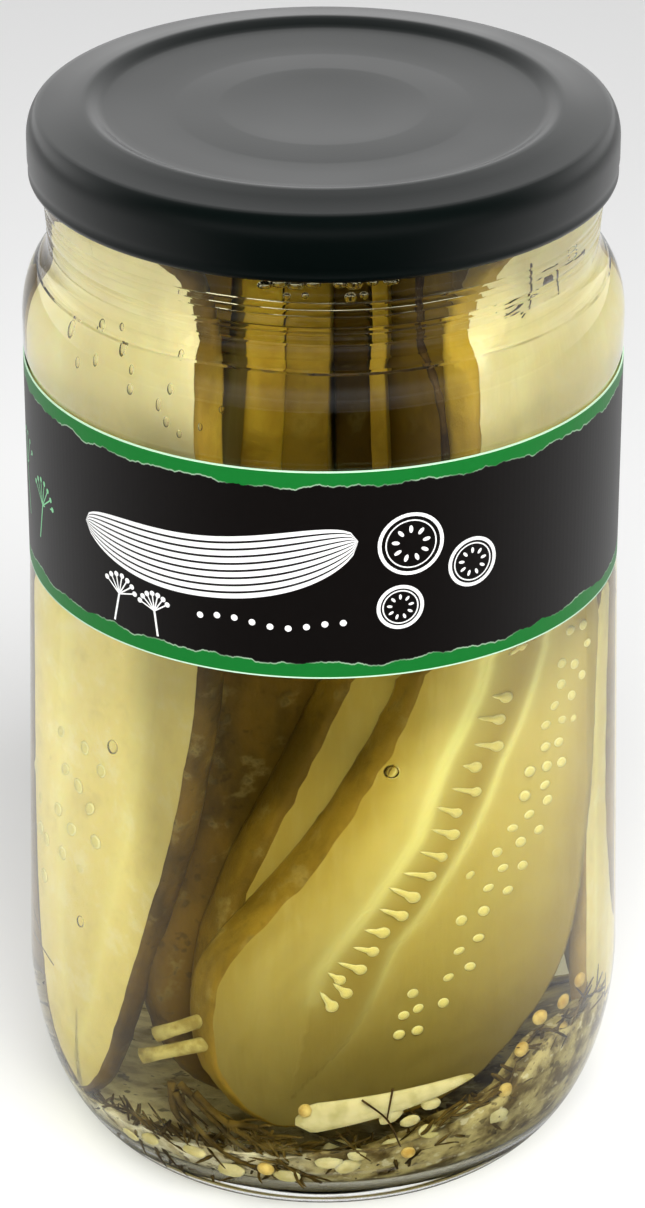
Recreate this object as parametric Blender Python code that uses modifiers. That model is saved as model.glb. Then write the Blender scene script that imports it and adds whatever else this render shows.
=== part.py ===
"""A shut glass jar of long cut pickles: glass, twist-off lid, paper band, pickle slices and spices.

Run with: blender --background --python part.py, or from Blender's text editor.
Sizes below are millimetres. MM turns them into metres where the meshes are made.
The jar stands on z = 0 with its axis on Z, and its front faces -Y.
"""

import math
import random

import bmesh
import bpy
from mathutils import Euler, Matrix, Vector

MM = 0.001
STEPS = 48
MERGE = 0.00001

# Heights of the whole jar
JAR_HEIGHT = 167.8
LID_FOOT_Z = 157.0
SHOULDER_TOP_Z = 144.8
SHOULDER_FOOT_Z = 135.3
LABEL_TOP_Z = 129.5
LABEL_FOOT_Z = 96.9
HEEL_TOP_Z = 28.9

# Glass
BODY_RADIUS = 44.2
BODY_LOW_RADIUS = 46.05
LABEL_PANEL_RADIUS = 43.9
NECK_RADIUS = 40.3
FINISH_RADIUS = 39.4
MOUTH_RADIUS = 36.9
SHOULDER_REACH = 5.68
SHOULDER_DROP = 10.0
BASE_RING_RADIUS = 32.3
BASE_DISH_RADIUS = 27.5
BASE_DISH_DEPTH = 2.6
FLOOR_Z = 6.6
WALL = 2.5
FLOOR_FLAT_RADIUS = 24.0
FLOOR_CROWN = 0.5
HEEL_SAG = 1.2
RIM_Z = 166.1
RIM_ROUND = 0.9
FINISH_FOOT_Z = 157.6
NECK_BEAD = 0.35
NECK_BEAD_Z = 151.0
NECK_BEAD_TOP_Z = 155.6
THROAT_RADIUS = 37.4
THROAT_DROP = 8.6
PANEL_STEP = 0.5

# Lid
LID_RADIUS = 42.8
SHEET = 0.55
CREST_RADIUS = 34.4
CORNER_RADIUS = 4.1
TOP_SLOPE = 10.0
PANEL_RADIUS = 32.1
PANEL_DROP = 1.05
STEP_RADII = (21.6, 15.2)
STEP_DROP = 0.28
STEP_WIDTH = 0.8
CURL_RADIUS = 0.85
SKIRT_STRAIGHT = 6.0

# Paper band
LABEL_GAP = 0.28
LABEL_THICKNESS = 0.25

# Contents
CLEARANCE = 0.35
SLICE_OUTLINE = 22
SLICE_FULLNESS = 2.4
EDGE_ROUND = 1.6
SLICE_TOP_Z = 155.0
SPICE_TOP_Z = 60.0
CORE_FOOT_Z = 21.0
CORE_TOP_Z = 118.0
SPICE_SEED = 7
MUSTARD_RADIUS = 1.2
CHIP_SIZE = (2.4, 1.7, 1.1)
STEM_RADIUS = 0.75

COLOURS = {
    "glass_jar": ((0.80, 0.86, 0.82), 0.05, 0.0),
    "lid": ((0.012, 0.014, 0.014), 0.38, 0.6),
    "label": ((0.016, 0.012, 0.010), 0.45, 0.0),
    "pickle_slices": ((0.42, 0.38, 0.12), 0.35, 0.0),
    "spice_bed": ((0.20, 0.14, 0.05), 0.6, 0.0),
}

# Each slice: the azimuth that its outer face looks to (0 is the front, + is to the right), the distance
# of that face from the axis, its foot and head as (sideways, height), how far its middle is bent
# sideways, its width and thickness, and its skew. Above 1 the widest place is nearer the head.
SLICES = {
    "front": dict(
        turn=20, out=30.2, foot=(-9, 17), head=(25, 112),
        bend=-5, width=50, thick=6.6, skew=0.6,
    ),
    "second": dict(
        turn=20, out=23.8, foot=(-6, 17), head=(8, 126),
        bend=5, width=47, thick=6.8, skew=0.8,
    ),
    "third": dict(
        turn=18, out=17.2, foot=(-6, 17), head=(2, 131),
        bend=2, width=42, thick=6.6, skew=0.9,
    ),
    "left": dict(
        turn=-50, out=36.0, foot=(-12, 11), head=(-2, 152),
        bend=2, width=42, thick=6.6, skew=1.3,
    ),
    "right": dict(
        turn=60, out=35.5, foot=(2, 96), head=(0, 151),
        bend=0, width=38, thick=6.0, skew=0.9,
    ),
    "middle_a": dict(
        turn=82, out=-8.0, foot=(9, 19), head=(6, 149),
        bend=1, width=34, thick=6.6, skew=1.0,
    ),
    "middle_b": dict(
        turn=96, out=1.0, foot=(12, 18), head=(8, 152),
        bend=-2, width=33, thick=6.8, skew=1.1,
    ),
    "middle_c": dict(
        turn=84, out=9.5, foot=(10, 20), head=(8, 147),
        bend=2, width=34, thick=6.4, skew=1.0,
    ),
    "middle_d": dict(
        turn=98, out=17.5, foot=(12, 19), head=(9, 150),
        bend=0, width=32, thick=6.4, skew=0.9,
    ),
    "back": dict(
        turn=180, out=35.5, foot=(3, 12), head=(-2, 151),
        bend=-3, width=44, thick=6.6, skew=1.0,
    ),
    "left_back": dict(
        turn=-125, out=35.0, foot=(2, 14), head=(-3, 148),
        bend=3, width=40, thick=6.4, skew=1.1,
    ),
    "right_back": dict(
        turn=118, out=34.5, foot=(-3, 13), head=(3, 150),
        bend=-2, width=42, thick=6.6, skew=0.9,
    ),
}

# The core is a prism inside these faces, as (azimuth, distance)
CORE_FACES = (
    (20, 23.0), (60, 29.6), (118, 28.6), (180, 29.4), (-125, 29.2), (-50, 29.9), (-18, 22.0),
)
CORE_BLANK = 0.2

# The height of the spice bank along the wall, by azimuth. It is highest at the front right.
BANK_HEIGHTS = (
    (-180, 10), (-100, 10), (-60, 13), (-20, 17), (10, 19), (35, 22),
    (52, 28), (68, 27), (90, 15), (120, 10), (180, 10),
)
BANK_INNER_RADIUS = 30.5
BANK_SECTIONS = 30
BED_CENTRE_Z = 10.2
BED_INSET = 1.3
LOWEST_SPICE_Z = 9.0
BED_RINGS = (10.0, 21.0, BANK_INNER_RADIUS, 36.0, 46.0)

# The long garlic strip that lies against the front glass: its azimuth, height, size and rise in degrees
GARLIC_STRIP = dict(turn=7, z=20.5, length=28.0, width=4.4, thick=2.2, rise=10)
GARLIC_CHIPS = 9
MUSTARD_SEEDS = 27
STEMS = 14


def clear_scene():
    for obj in list(bpy.data.objects):
        bpy.data.objects.remove(obj, do_unlink=True)
    for block in (bpy.data.meshes, bpy.data.curves, bpy.data.materials):
        for item in list(block):
            block.remove(item)


def new_collection(name, cutters=False):
    collection = bpy.data.collections.new(name)
    bpy.context.scene.collection.children.link(collection)
    collection.hide_render = cutters
    return collection


def material(name):
    colour, roughness, metallic = COLOURS[name]
    mat = bpy.data.materials.new(name)
    mat.use_nodes = True
    shader = mat.node_tree.nodes["Principled BSDF"]
    shader.inputs["Base Color"].default_value = (*colour, 1.0)
    shader.inputs["Roughness"].default_value = roughness
    shader.inputs["Metallic"].default_value = metallic
    mat.diffuse_color = (*colour, 1.0)
    return mat


def object_of(bm, name, collection, recalculate=True):
    """A new object that holds the bmesh, which is then freed."""
    if recalculate:
        bmesh.ops.recalc_face_normals(bm, faces=bm.faces)
    mesh = bpy.data.meshes.new(name)
    bm.to_mesh(mesh)
    bm.free()
    obj = bpy.data.objects.new(name, mesh)
    if collection.hide_render:
        obj.display_type = "WIRE"
    collection.objects.link(obj)
    return obj


def arc(centre, radii, start, end, count):
    """Points of an elliptical arc, in degrees from +X, as (radius, height)."""
    points = []
    for i in range(count + 1):
        angle = math.radians(start + (end - start) * i / count)
        points.append((centre[0] + radii[0] * math.cos(angle), centre[1] + radii[1] * math.sin(angle)))
    return points


def turned(name, profile, collection):
    """A closed body turned about Z from a profile in millimetres, by a Screw modifier."""
    bm = bmesh.new()
    verts = [bm.verts.new((r * MM, 0.0, z * MM)) for r, z in profile]
    for a, b in zip(verts, verts[1:]):
        bm.edges.new((a, b))
    obj = object_of(bm, name, collection, recalculate=False)
    screw = obj.modifiers.new("turn", "SCREW")
    screw.axis = "Z"
    screw.steps = STEPS
    screw.render_steps = STEPS
    screw.use_merge_vertices = True
    screw.merge_threshold = MERGE
    screw.use_smooth_shade = True
    return obj


def body_radius(z):
    """Outer radius of the glass between the heel and the paper band."""
    share = (z - HEEL_TOP_Z) / (LABEL_FOOT_Z - HEEL_TOP_Z)
    return BODY_LOW_RADIUS + (BODY_RADIUS - BODY_LOW_RADIUS) * share


def inner_profile(inset=0.0):
    """The jar's inside from the middle of the floor up to the mouth, moved in by the inset."""
    heel_reach = body_radius(HEEL_TOP_Z) - WALL - inset - FLOOR_FLAT_RADIUS
    floor = FLOOR_Z + inset
    points = [(0.0, floor), (FLOOR_FLAT_RADIUS * 0.6, floor - FLOOR_CROWN)]
    heel_radii = (heel_reach, HEEL_TOP_Z - floor + HEEL_SAG)
    points += arc((FLOOR_FLAT_RADIUS, HEEL_TOP_Z), heel_radii, -90, 0, 6)
    points += [
        (body_radius(LABEL_FOOT_Z) - WALL - inset, LABEL_FOOT_Z - 1.0),
        (LABEL_PANEL_RADIUS - WALL - inset, LABEL_FOOT_Z + 4.0),
        (LABEL_PANEL_RADIUS - WALL - inset, SHOULDER_FOOT_Z - 2.0),
    ]
    reach = LABEL_PANEL_RADIUS - WALL - THROAT_RADIUS
    points += arc((THROAT_RADIUS - inset, SHOULDER_FOOT_Z), (reach, THROAT_DROP), 12, 78, 4)
    points.append((THROAT_RADIUS - inset, SHOULDER_TOP_Z + 2.0))
    return points


def outer_profile():
    """The jar's outside from the rim down to the middle of the base."""
    shoulder_centre = (BODY_RADIUS - SHOULDER_REACH, SHOULDER_FOOT_Z)
    points = [
        (FINISH_RADIUS, FINISH_FOOT_Z + 1.9),
        (NECK_RADIUS + 0.05, FINISH_FOOT_Z),
        (NECK_RADIUS + NECK_BEAD, NECK_BEAD_TOP_Z),
        (NECK_RADIUS + NECK_BEAD, NECK_BEAD_Z + 0.4),
        (NECK_RADIUS, NECK_BEAD_Z),
        (NECK_RADIUS - 0.05, SHOULDER_TOP_Z + 1.1),
        (NECK_RADIUS + 0.15, SHOULDER_TOP_Z + 0.1),
    ]
    points += arc(shoulder_centre, (SHOULDER_REACH, SHOULDER_DROP), 66, 0, 5)
    points += [
        (BODY_RADIUS, LABEL_TOP_Z + 3 * PANEL_STEP),
        (LABEL_PANEL_RADIUS, LABEL_TOP_Z + PANEL_STEP),
        (LABEL_PANEL_RADIUS, LABEL_FOOT_Z - PANEL_STEP),
        (body_radius(LABEL_FOOT_Z - 2.0), LABEL_FOOT_Z - 2.0),
    ]
    heel_reach = BODY_LOW_RADIUS - BASE_RING_RADIUS
    points += arc((BASE_RING_RADIUS, HEEL_TOP_Z), (heel_reach, HEEL_TOP_Z), 0, -90, 8)
    points += [
        (BASE_DISH_RADIUS, 0.0),
        (BASE_DISH_RADIUS - 2.0, BASE_DISH_DEPTH * 0.55),
        (BASE_DISH_RADIUS * 0.6, BASE_DISH_DEPTH * 0.9),
        (0.0, BASE_DISH_DEPTH),
    ]
    return points


def make_glass(collection):
    mouth = [(MOUTH_RADIUS, FINISH_FOOT_Z + 0.9)]
    rim = arc((MOUTH_RADIUS + RIM_ROUND, RIM_Z - RIM_ROUND), (RIM_ROUND, RIM_ROUND), 180, 90, 2)
    rim += arc((FINISH_RADIUS - RIM_ROUND, RIM_Z - RIM_ROUND), (RIM_ROUND, RIM_ROUND), 90, 0, 2)
    return turned("glass_jar", inner_profile() + mouth + rim + outer_profile(), collection)


def lid_outside():
    """The lid's outer face from the middle of its panel to the foot of the skirt."""
    panel_z = JAR_HEIGHT - PANEL_DROP
    outer_step, inner_step = STEP_RADII
    button_z = panel_z - 2 * STEP_DROP
    points = [
        (0.0, button_z),
        (inner_step - STEP_WIDTH, button_z),
        (inner_step, panel_z - STEP_DROP),
        (outer_step - STEP_WIDTH, panel_z - STEP_DROP),
        (outer_step, panel_z),
        (PANEL_RADIUS, panel_z),
        (CREST_RADIUS - 0.7, JAR_HEIGHT - 0.12),
        (CREST_RADIUS, JAR_HEIGHT),
    ]
    corner_r = LID_RADIUS - CORNER_RADIUS
    slope = math.radians(TOP_SLOPE)
    shoulder_r = corner_r + CORNER_RADIUS * math.sin(slope)
    shoulder_z = JAR_HEIGHT - (shoulder_r - CREST_RADIUS) * math.tan(slope)
    corner_z = shoulder_z - CORNER_RADIUS * math.cos(slope)
    points += arc((corner_r, corner_z), (CORNER_RADIUS, CORNER_RADIUS), 90 - TOP_SLOPE, 0, 5)
    return points


def make_lid(collection):
    outside = lid_outside()
    curl_z = LID_FOOT_Z + CURL_RADIUS
    curl_r = LID_RADIUS - CURL_RADIUS
    curl = arc((curl_r, curl_z), (CURL_RADIUS, CURL_RADIUS), 0, -180, 6)
    top_inside = JAR_HEIGHT - SHEET
    inside = [
        (LID_RADIUS - SHEET, curl_z + CURL_RADIUS + 0.4),
        (LID_RADIUS - SHEET, LID_FOOT_Z + SKIRT_STRAIGHT),
        (LID_RADIUS - SHEET * 2.6, top_inside - 2.0),
        (CREST_RADIUS + 0.4, top_inside),
        (PANEL_RADIUS + 0.3, top_inside - PANEL_DROP),
        (0.0, top_inside - PANEL_DROP - 2 * STEP_DROP),
    ]
    return turned("lid", outside + curl + inside, collection)


def make_label(collection):
    inner = LABEL_PANEL_RADIUS + LABEL_GAP
    outer = inner + LABEL_THICKNESS
    profile = [
        (inner, LABEL_TOP_Z),
        (outer, LABEL_TOP_Z),
        (outer, LABEL_FOOT_Z),
        (inner, LABEL_FOOT_Z),
        (inner, LABEL_TOP_Z),
    ]
    return turned("label", profile, collection)


def plane_axes(turn):
    """The outward and sideways directions of a face that looks to this azimuth."""
    angle = math.radians(turn)
    outward = Vector((math.sin(angle), -math.cos(angle), 0.0))
    sideways = Vector((math.cos(angle), math.sin(angle), 0.0))
    return outward, sideways


def slice_outline(spec, count):
    """The slice's outline as (sideways, height): a long rounded shape about a bent middle line."""
    foot, head = Vector(spec["foot"]), Vector(spec["head"])
    along = head - foot
    across = Vector((along.y, -along.x)).normalized()
    half = spec["width"] / 2
    sides = ([], [])
    for i in range(count // 2 + 1):
        share = 0.5 - 0.5 * math.cos(math.pi * i / (count // 2))
        skewed = share ** spec["skew"]
        reach = half * math.sqrt(max(0.0, 1.0 - abs(2 * skewed - 1) ** SLICE_FULLNESS))
        middle = foot + along * share + across * spec["bend"] * 4 * share * (1 - share)
        sides[0].append(middle + across * reach)
        sides[1].append(middle - across * reach)
    return sides[0] + sides[1][-2:0:-1]


def make_slice(name, spec, collection, inset=EDGE_ROUND):
    """A slab cut along the pickle: two faces and a rounded edge."""
    outward, sideways = plane_axes(spec["turn"])
    outline = slice_outline(spec, SLICE_OUTLINE)
    centre = sum(outline, Vector((0.0, 0.0))) / len(outline)
    bm = bmesh.new()
    rings = []
    round_share = 0.22
    for depth, pull in (
        (0.0, inset), (round_share, inset * 0.2), (1.0 - round_share, inset * 0.2), (1.0, inset),
    ):
        ring = []
        for point in outline:
            pulled = point + (centre - point).normalized() * pull
            place = outward * (spec["out"] - spec["thick"] * depth) + sideways * pulled.x
            ring.append(bm.verts.new((place + Vector((0, 0, pulled.y))) * MM))
        rings.append(ring)
    count = len(outline)
    for a, b in zip(rings, rings[1:]):
        for i in range(count):
            j = (i + 1) % count
            bm.faces.new((a[i], a[j], b[j], b[i]))
    bm.faces.new(rings[0])
    bm.faces.new(rings[-1])
    return object_of(bm, name, collection)


def make_core(name, faces, foot_z, top_z, collection):
    """A prism whose sides are the given vertical planes."""
    bm = bmesh.new()
    bmesh.ops.create_cube(bm, size=CORE_BLANK)
    cuts = [(plane_axes(turn)[0], plane_axes(turn)[0] * out * MM) for turn, out in faces]
    cuts.append((Vector((0, 0, 1)), Vector((0, 0, top_z * MM))))
    cuts.append((Vector((0, 0, -1)), Vector((0, 0, foot_z * MM))))
    bmesh.ops.translate(bm, verts=bm.verts, vec=(0, 0, (foot_z + top_z) / 2 * MM))
    for normal, place in cuts:
        geometry = bm.verts[:] + bm.edges[:] + bm.faces[:]
        cut = bmesh.ops.bisect_plane(bm, geom=geometry, plane_co=place, plane_no=normal, clear_outer=True)
        edges = [item for item in cut["geom_cut"] if isinstance(item, bmesh.types.BMEdge)]
        bmesh.ops.edgeloop_fill(bm, edges=edges)
    return object_of(bm, name, collection)


def boolean(obj, operation, other, solver="EXACT"):
    """A Boolean with an object or a collection, applied at once."""
    modifier = obj.modifiers.new(operation.lower(), "BOOLEAN")
    modifier.operation = operation
    modifier.solver = solver
    if isinstance(other, bpy.types.Collection):
        modifier.operand_type = "COLLECTION"
        modifier.collection = other
    else:
        modifier.object = other
    graph = bpy.context.evaluated_depsgraph_get()
    mesh = bpy.data.meshes.new_from_object(obj.evaluated_get(graph))
    obj.modifiers.clear()
    old = obj.data
    obj.data = mesh
    bpy.data.meshes.remove(old)


def keep_largest(obj):
    """Drops loose scraps and fills sealed hollows, so that one closed shell is left."""
    bm = bmesh.new()
    bm.from_mesh(obj.data)
    left = set(bm.verts)
    shells = []
    while left:
        stack = [left.pop()]
        shell = set(stack)
        while stack:
            for edge in stack.pop().link_edges:
                for vert in edge.verts:
                    if vert in left:
                        left.remove(vert)
                        shell.add(vert)
                        stack.append(vert)
        shells.append(shell)
    shells.sort(key=len)
    for shell in shells[:-1]:
        bmesh.ops.delete(bm, geom=list(shell), context="VERTS")
    bm.to_mesh(obj.data)
    bm.free()


def finished(obj, name, cutters, collection):
    """Moves a heap out of the cutters' collection under its own name."""
    obj.name = name
    obj.display_type = "TEXTURED"
    cutters.objects.unlink(obj)
    collection.objects.link(obj)
    return obj


def cavity(name, inset, top_z, collection):
    """The space inside the glass, as a closed body to trim the contents with."""
    inside = [point for point in inner_profile(inset) if point[1] < top_z]
    rising = inside + [(inside[-1][0], top_z), (0.0, top_z)]
    return turned(name, rising[::-1], collection)


def make_slices(collection, cutters):
    """The standing slices, fused to a core behind them and trimmed to the glass."""
    pieces = new_collection("slice_pieces", cutters=True)
    for name, spec in SLICES.items():
        make_slice("slice_" + name, spec, pieces)
    core = make_core("slice_core", CORE_FACES, CORE_FOOT_Z, CORE_TOP_Z, cutters)
    cutter = cavity("slice_cavity", CLEARANCE, SLICE_TOP_Z, cutters)
    bpy.context.view_layer.update()
    boolean(core, "UNION", pieces, "MANIFOLD")
    boolean(core, "INTERSECT", cutter, "MANIFOLD")
    keep_largest(core)
    for obj in list(pieces.objects):
        bpy.data.objects.remove(obj, do_unlink=True)
    return finished(core, "pickle_slices", cutters, collection)


def bank_height(turn):
    """The height of the spices against the wall at this azimuth."""
    for (a, low), (b, high) in zip(BANK_HEIGHTS, BANK_HEIGHTS[1:]):
        if a <= turn <= b:
            share = (turn - a) / (b - a)
            return low + (high - low) * (0.5 - 0.5 * math.cos(math.pi * share))
    return BED_CENTRE_Z


def inside_radius(z):
    """Inner radius of the glass at this height."""
    points = inner_profile()
    for (r0, z0), (r1, z1) in zip(points, points[1:]):
        if z0 <= z <= z1 and z1 > z0:
            return r0 + (r1 - r0) * (z - z0) / (z1 - z0)
    return points[-1][0]


def place_of(turn, radius, z):
    outward, _ = plane_axes(turn)
    return outward * radius + Vector((0, 0, z))


def make_bed(draw, collection):
    """The settled spices: a lumpy round bed with a bank along the wall."""
    bm = bmesh.new()
    rings = []
    for radius in BED_RINGS:
        ring = []
        for i in range(BANK_SECTIONS):
            turn = -180 + 360 * i / BANK_SECTIONS
            z = BED_CENTRE_Z if radius < BANK_INNER_RADIUS else bank_height(turn)
            ring.append(bm.verts.new(place_of(turn, radius, z + draw.uniform(-0.5, 0.5)) * MM))
        rings.append(ring)
    rings.append([bm.verts.new((v.co.x, v.co.y, 0.0)) for v in rings[-1]])
    for a, b in zip(rings, rings[1:]):
        for i in range(BANK_SECTIONS):
            j = (i + 1) % BANK_SECTIONS
            bm.faces.new((a[i], a[j], b[j], b[i]))
    bm.faces.new(rings[0])
    bm.faces.new(rings[-1])
    bmesh.ops.triangulate(bm, faces=bm.faces)
    return object_of(bm, "spice_core", collection)


def lump(name, place, size, spin, collection):
    """A seed or chip with few sides, stretched and turned."""
    bm = bmesh.new()
    bmesh.ops.create_icosphere(bm, subdivisions=1, radius=MM)
    turn = Euler(spin).to_matrix().to_4x4()
    bmesh.ops.transform(bm, verts=bm.verts, matrix=turn @ Matrix.Diagonal((*size, 1.0)))
    bmesh.ops.translate(bm, verts=bm.verts, vec=place * MM)
    return object_of(bm, name, collection)


def spice_turn(draw, index):
    """The azimuth of a piece of spice: most lie in the bank, and each fifth one behind."""
    return draw.uniform(-85, 92) if index % 5 else draw.choice((-1, 1)) * draw.uniform(95, 178)


def make_spices(draw, collection):
    """Mustard seeds, garlic chips and cut dill stems, on top of the bed and along its wall side."""
    kinds = [("mustard", (MUSTARD_RADIUS,) * 3)] * MUSTARD_SEEDS + [("chip", CHIP_SIZE)] * GARLIC_CHIPS
    for i, (kind, size) in enumerate(kinds):
        turn = spice_turn(draw, i)
        on_top = i % 2 == 0
        z = bank_height(turn) + (draw.uniform(0.0, 0.8) if on_top else -draw.uniform(0.0, 9.0))
        z = max(z, LOWEST_SPICE_Z)
        back = draw.uniform(2.0, 6.5) if on_top else BED_INSET
        spin = [draw.uniform(0, math.tau) for _ in range(3)]
        lump(f"{kind}_{i}", place_of(turn, inside_radius(z) - back, z), size, spin, collection)
    for i in range(STEMS):
        turn = spice_turn(draw, i)
        z = max(bank_height(turn) + 0.3 - draw.uniform(0.0, 8.0) * (i % 2), LOWEST_SPICE_Z)
        back = BED_INSET if i % 2 else draw.uniform(2.5, 5.0)
        heading = math.radians(turn + 90) + draw.uniform(-0.5, 0.5)
        spin = (math.pi / 2 + draw.uniform(-0.35, 0.35), 0.0, heading)
        size = (STEM_RADIUS, STEM_RADIUS, draw.uniform(5.0, 9.0))
        lump(f"stem_{i}", place_of(turn, inside_radius(z) - back, z), size, spin, collection)
    strip = GARLIC_STRIP
    reach = inside_radius(strip["z"]) - strip["thick"] * 1.6
    spin = (0.0, -math.radians(strip["rise"]), math.radians(strip["turn"]))
    size = (strip["length"] / 2, strip["thick"] / 2, strip["width"] / 2)
    lump("garlic_strip", place_of(strip["turn"], reach, strip["z"]), size, spin, collection)


def slice_room(collection):
    """The slices and their core, a little larger, to keep the spices clear of them."""
    for name, spec in SLICES.items():
        room = dict(spec, out=spec["out"] + CLEARANCE, thick=spec["thick"] + 2 * CLEARANCE)
        room["width"] += 2 * CLEARANCE
        make_slice("room_" + name, room, collection, inset=-0.5)
    faces = [(turn, out + CLEARANCE) for turn, out in CORE_FACES]
    make_core("room_core", faces, CORE_FOOT_Z - CLEARANCE, CORE_TOP_Z, collection)


def make_spice_bed(collection, cutters):
    """The bed with its spices, trimmed to the glass and kept clear of the slices."""
    draw = random.Random(SPICE_SEED)
    pieces = new_collection("spice_pieces", cutters=True)
    keep_out = new_collection("slice_room", cutters=True)
    core = make_bed(draw, cutters)
    make_spices(draw, pieces)
    slice_room(keep_out)
    bed_cutter = cavity("bed_cavity", CLEARANCE + BED_INSET, SPICE_TOP_Z, cutters)
    bpy.context.view_layer.update()
    boolean(core, "INTERSECT", bed_cutter, "MANIFOLD")
    boolean(core, "UNION", pieces, "MANIFOLD")
    boolean(core, "DIFFERENCE", keep_out, "MANIFOLD")
    cutter = cavity("spice_cavity", CLEARANCE, SPICE_TOP_Z, cutters)
    bpy.context.view_layer.update()
    boolean(core, "INTERSECT", cutter, "MANIFOLD")
    keep_largest(core)
    for obj in list(pieces.objects) + list(keep_out.objects):
        bpy.data.objects.remove(obj, do_unlink=True)
    return finished(core, "spice_bed", cutters, collection)


def build():
    clear_scene()
    parts = new_collection("pickle_jar")
    cutters = new_collection("cutters", cutters=True)
    made = [make_glass(parts), make_lid(parts), make_label(parts)]
    made += [make_slices(parts, cutters), make_spice_bed(parts, cutters)]
    for obj in made:
        obj.data.materials.clear()
        obj.data.materials.append(material(obj.name))


build()
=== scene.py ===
"""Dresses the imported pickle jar: clear glass, brine, lid, paper band, cucumber slices and spices.

Run by Blender as a script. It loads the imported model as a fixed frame, in metres, and builds each
visible piece round it. Sizes below are millimetres; MM turns them into metres.
"""

import math
import random

import bmesh
import bpy
from bpy.props import FloatProperty, FloatVectorProperty, IntProperty, PointerProperty
from mathutils import Euler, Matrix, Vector, noise


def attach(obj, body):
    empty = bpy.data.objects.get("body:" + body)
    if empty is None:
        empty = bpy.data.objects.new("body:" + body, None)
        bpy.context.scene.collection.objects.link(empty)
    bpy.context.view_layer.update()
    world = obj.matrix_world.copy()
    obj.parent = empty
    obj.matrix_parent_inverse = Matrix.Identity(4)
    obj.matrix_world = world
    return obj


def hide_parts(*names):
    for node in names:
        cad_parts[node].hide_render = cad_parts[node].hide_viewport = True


bl_info = {
    "name": "Pickle jar",
    "version": (1, 0, 0),
    "blender": (4, 5, 0),
    "location": "View3D > Sidebar > Pickle jar",
    "description": "Builds the visible pieces of a glass jar of sliced pickles",
    "category": "Object",
}

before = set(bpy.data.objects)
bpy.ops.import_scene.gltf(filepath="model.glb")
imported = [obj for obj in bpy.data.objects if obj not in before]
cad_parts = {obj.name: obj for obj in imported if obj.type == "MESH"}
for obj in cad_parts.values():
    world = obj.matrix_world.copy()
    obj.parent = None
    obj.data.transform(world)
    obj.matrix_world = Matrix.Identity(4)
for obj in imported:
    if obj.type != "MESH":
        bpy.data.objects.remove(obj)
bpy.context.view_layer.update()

MM = 0.001

# Heights and radii of the jar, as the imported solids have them
JAR_HEIGHT = 167.8
LID_FOOT_Z = 157.0
SHOULDER_TOP_Z = 144.8
SHOULDER_FOOT_Z = 135.3
LABEL_TOP_Z = 129.5
LABEL_FOOT_Z = 96.9
HEEL_TOP_Z = 28.9
BODY_RADIUS = 44.2
BODY_LOW_RADIUS = 46.05
LABEL_PANEL_RADIUS = 43.9
NECK_RADIUS = 40.3
# How much wider the neck is above its lines, and how far it draws in below them
NECK_FLARE = 0.35
NECK_WAIST = 0.2
NECK_FILLET = 6.1
NECK_FILLET_Z = 147.7
# Fine lines around the neck, as (height, half width, depth). All are in the bump of the glass, and the
# first ones are grooves in its mesh as well
NECK_GROOVES = 5
NECK_LINES = (
    (153.3, 0.22, 0.13), (152.2, 0.2, 0.1), (151.2, 0.2, 0.09), (149.4, 0.3, 0.24), (148.6, 0.22, 0.1),
    (147.0, 0.3, 0.13), (143.5, 0.3, 0.24),
)
FINISH_RADIUS = 39.4
MOUTH_RADIUS = 36.9
SHOULDER_REACH = 5.68
SHOULDER_DROP = 10.0
BASE_RING_RADIUS = 32.3
BASE_DISH_RADIUS = 27.5
BASE_DISH_DEPTH = 2.6
FLOOR_Z = 6.6
FLOOR_FLAT_RADIUS = 29.0
WALL = 2.5
RIM_Z = 166.1
THROAT_RADIUS = 37.4
THROAT_TOP_Z = 152.0
MOUTH_FOOT_Z = 158.5
LID_RADIUS = 42.8
CREST_RADIUS = 34.4
PANEL_RADIUS = 32.1
PANEL_DROP = 1.05
# The two rings pressed in the lid's panel, and how far the panel lies down at each
STEP_RADII = (21.6, 15.2)
STEP_DROPS = (0.42, 0.16)
# The base ring is darker, greener glass, partly for thick glass's tint and partly as painted shade where the
# jar meets the floor: it lies below this height and outside this radius
FOOT_GLASS_Z = 2.2
FOOT_GLASS_RADIUS = 26.0
# How far the brine reaches into the glass, so that no air shows between them
BRINE_OVERLAP = 0.4

# The camera that was fitted to the photo, in metres
CAMERA_AT = (-0.000137, -0.6068, 0.4010)
CAMERA_AIM = (-0.000137, 0.0, 0.08589)
CAMERA_LENS = 134.1
FLOOR_REACH = 3.0
BOUNCES = {"max": 9, "diffuse": 2, "glossy": 3, "transmission": 9, "transparent_max": 10}

# Left and right edges of the slices that stand edge on behind the front ones, from foot to head as
# (sideways, height). The club leans out over the tops of those in front, the top one shows only above
# them, and the shy one stays further back
CLUB_EDGES = (
    ((3, 18), (-7, 30), (-9, 70), (-10, 112), (-18, 121), (-25, 131), (-27, 142), (-22, 151), (-8, 153)),
    ((3, 18), (14, 26), (24, 60), (27, 110), (26, 140), (12, 151), (-8, 153)),
)
TOP_EDGES = (
    ((4, 18), (6, 30), (7, 70), (7, 112), (6, 124), (0, 132), (-14, 139), (-20, 145), (-18, 151), (-8, 153)),
    ((4, 18), (15, 26), (24, 60), (27, 110), (26, 130), (24, 140), (18, 146), (8, 151), (0, 153), (-8, 153)),
)
SHY_EDGES = (
    ((4, 18), (-6, 30), (-8, 70), (-9, 112), (-13, 124), (-17, 136), (-15, 148), (-3, 152)),
    ((4, 18), (15, 26), (24, 60), (27, 110), (26, 140), (12, 150), (-3, 152)),
)
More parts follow.
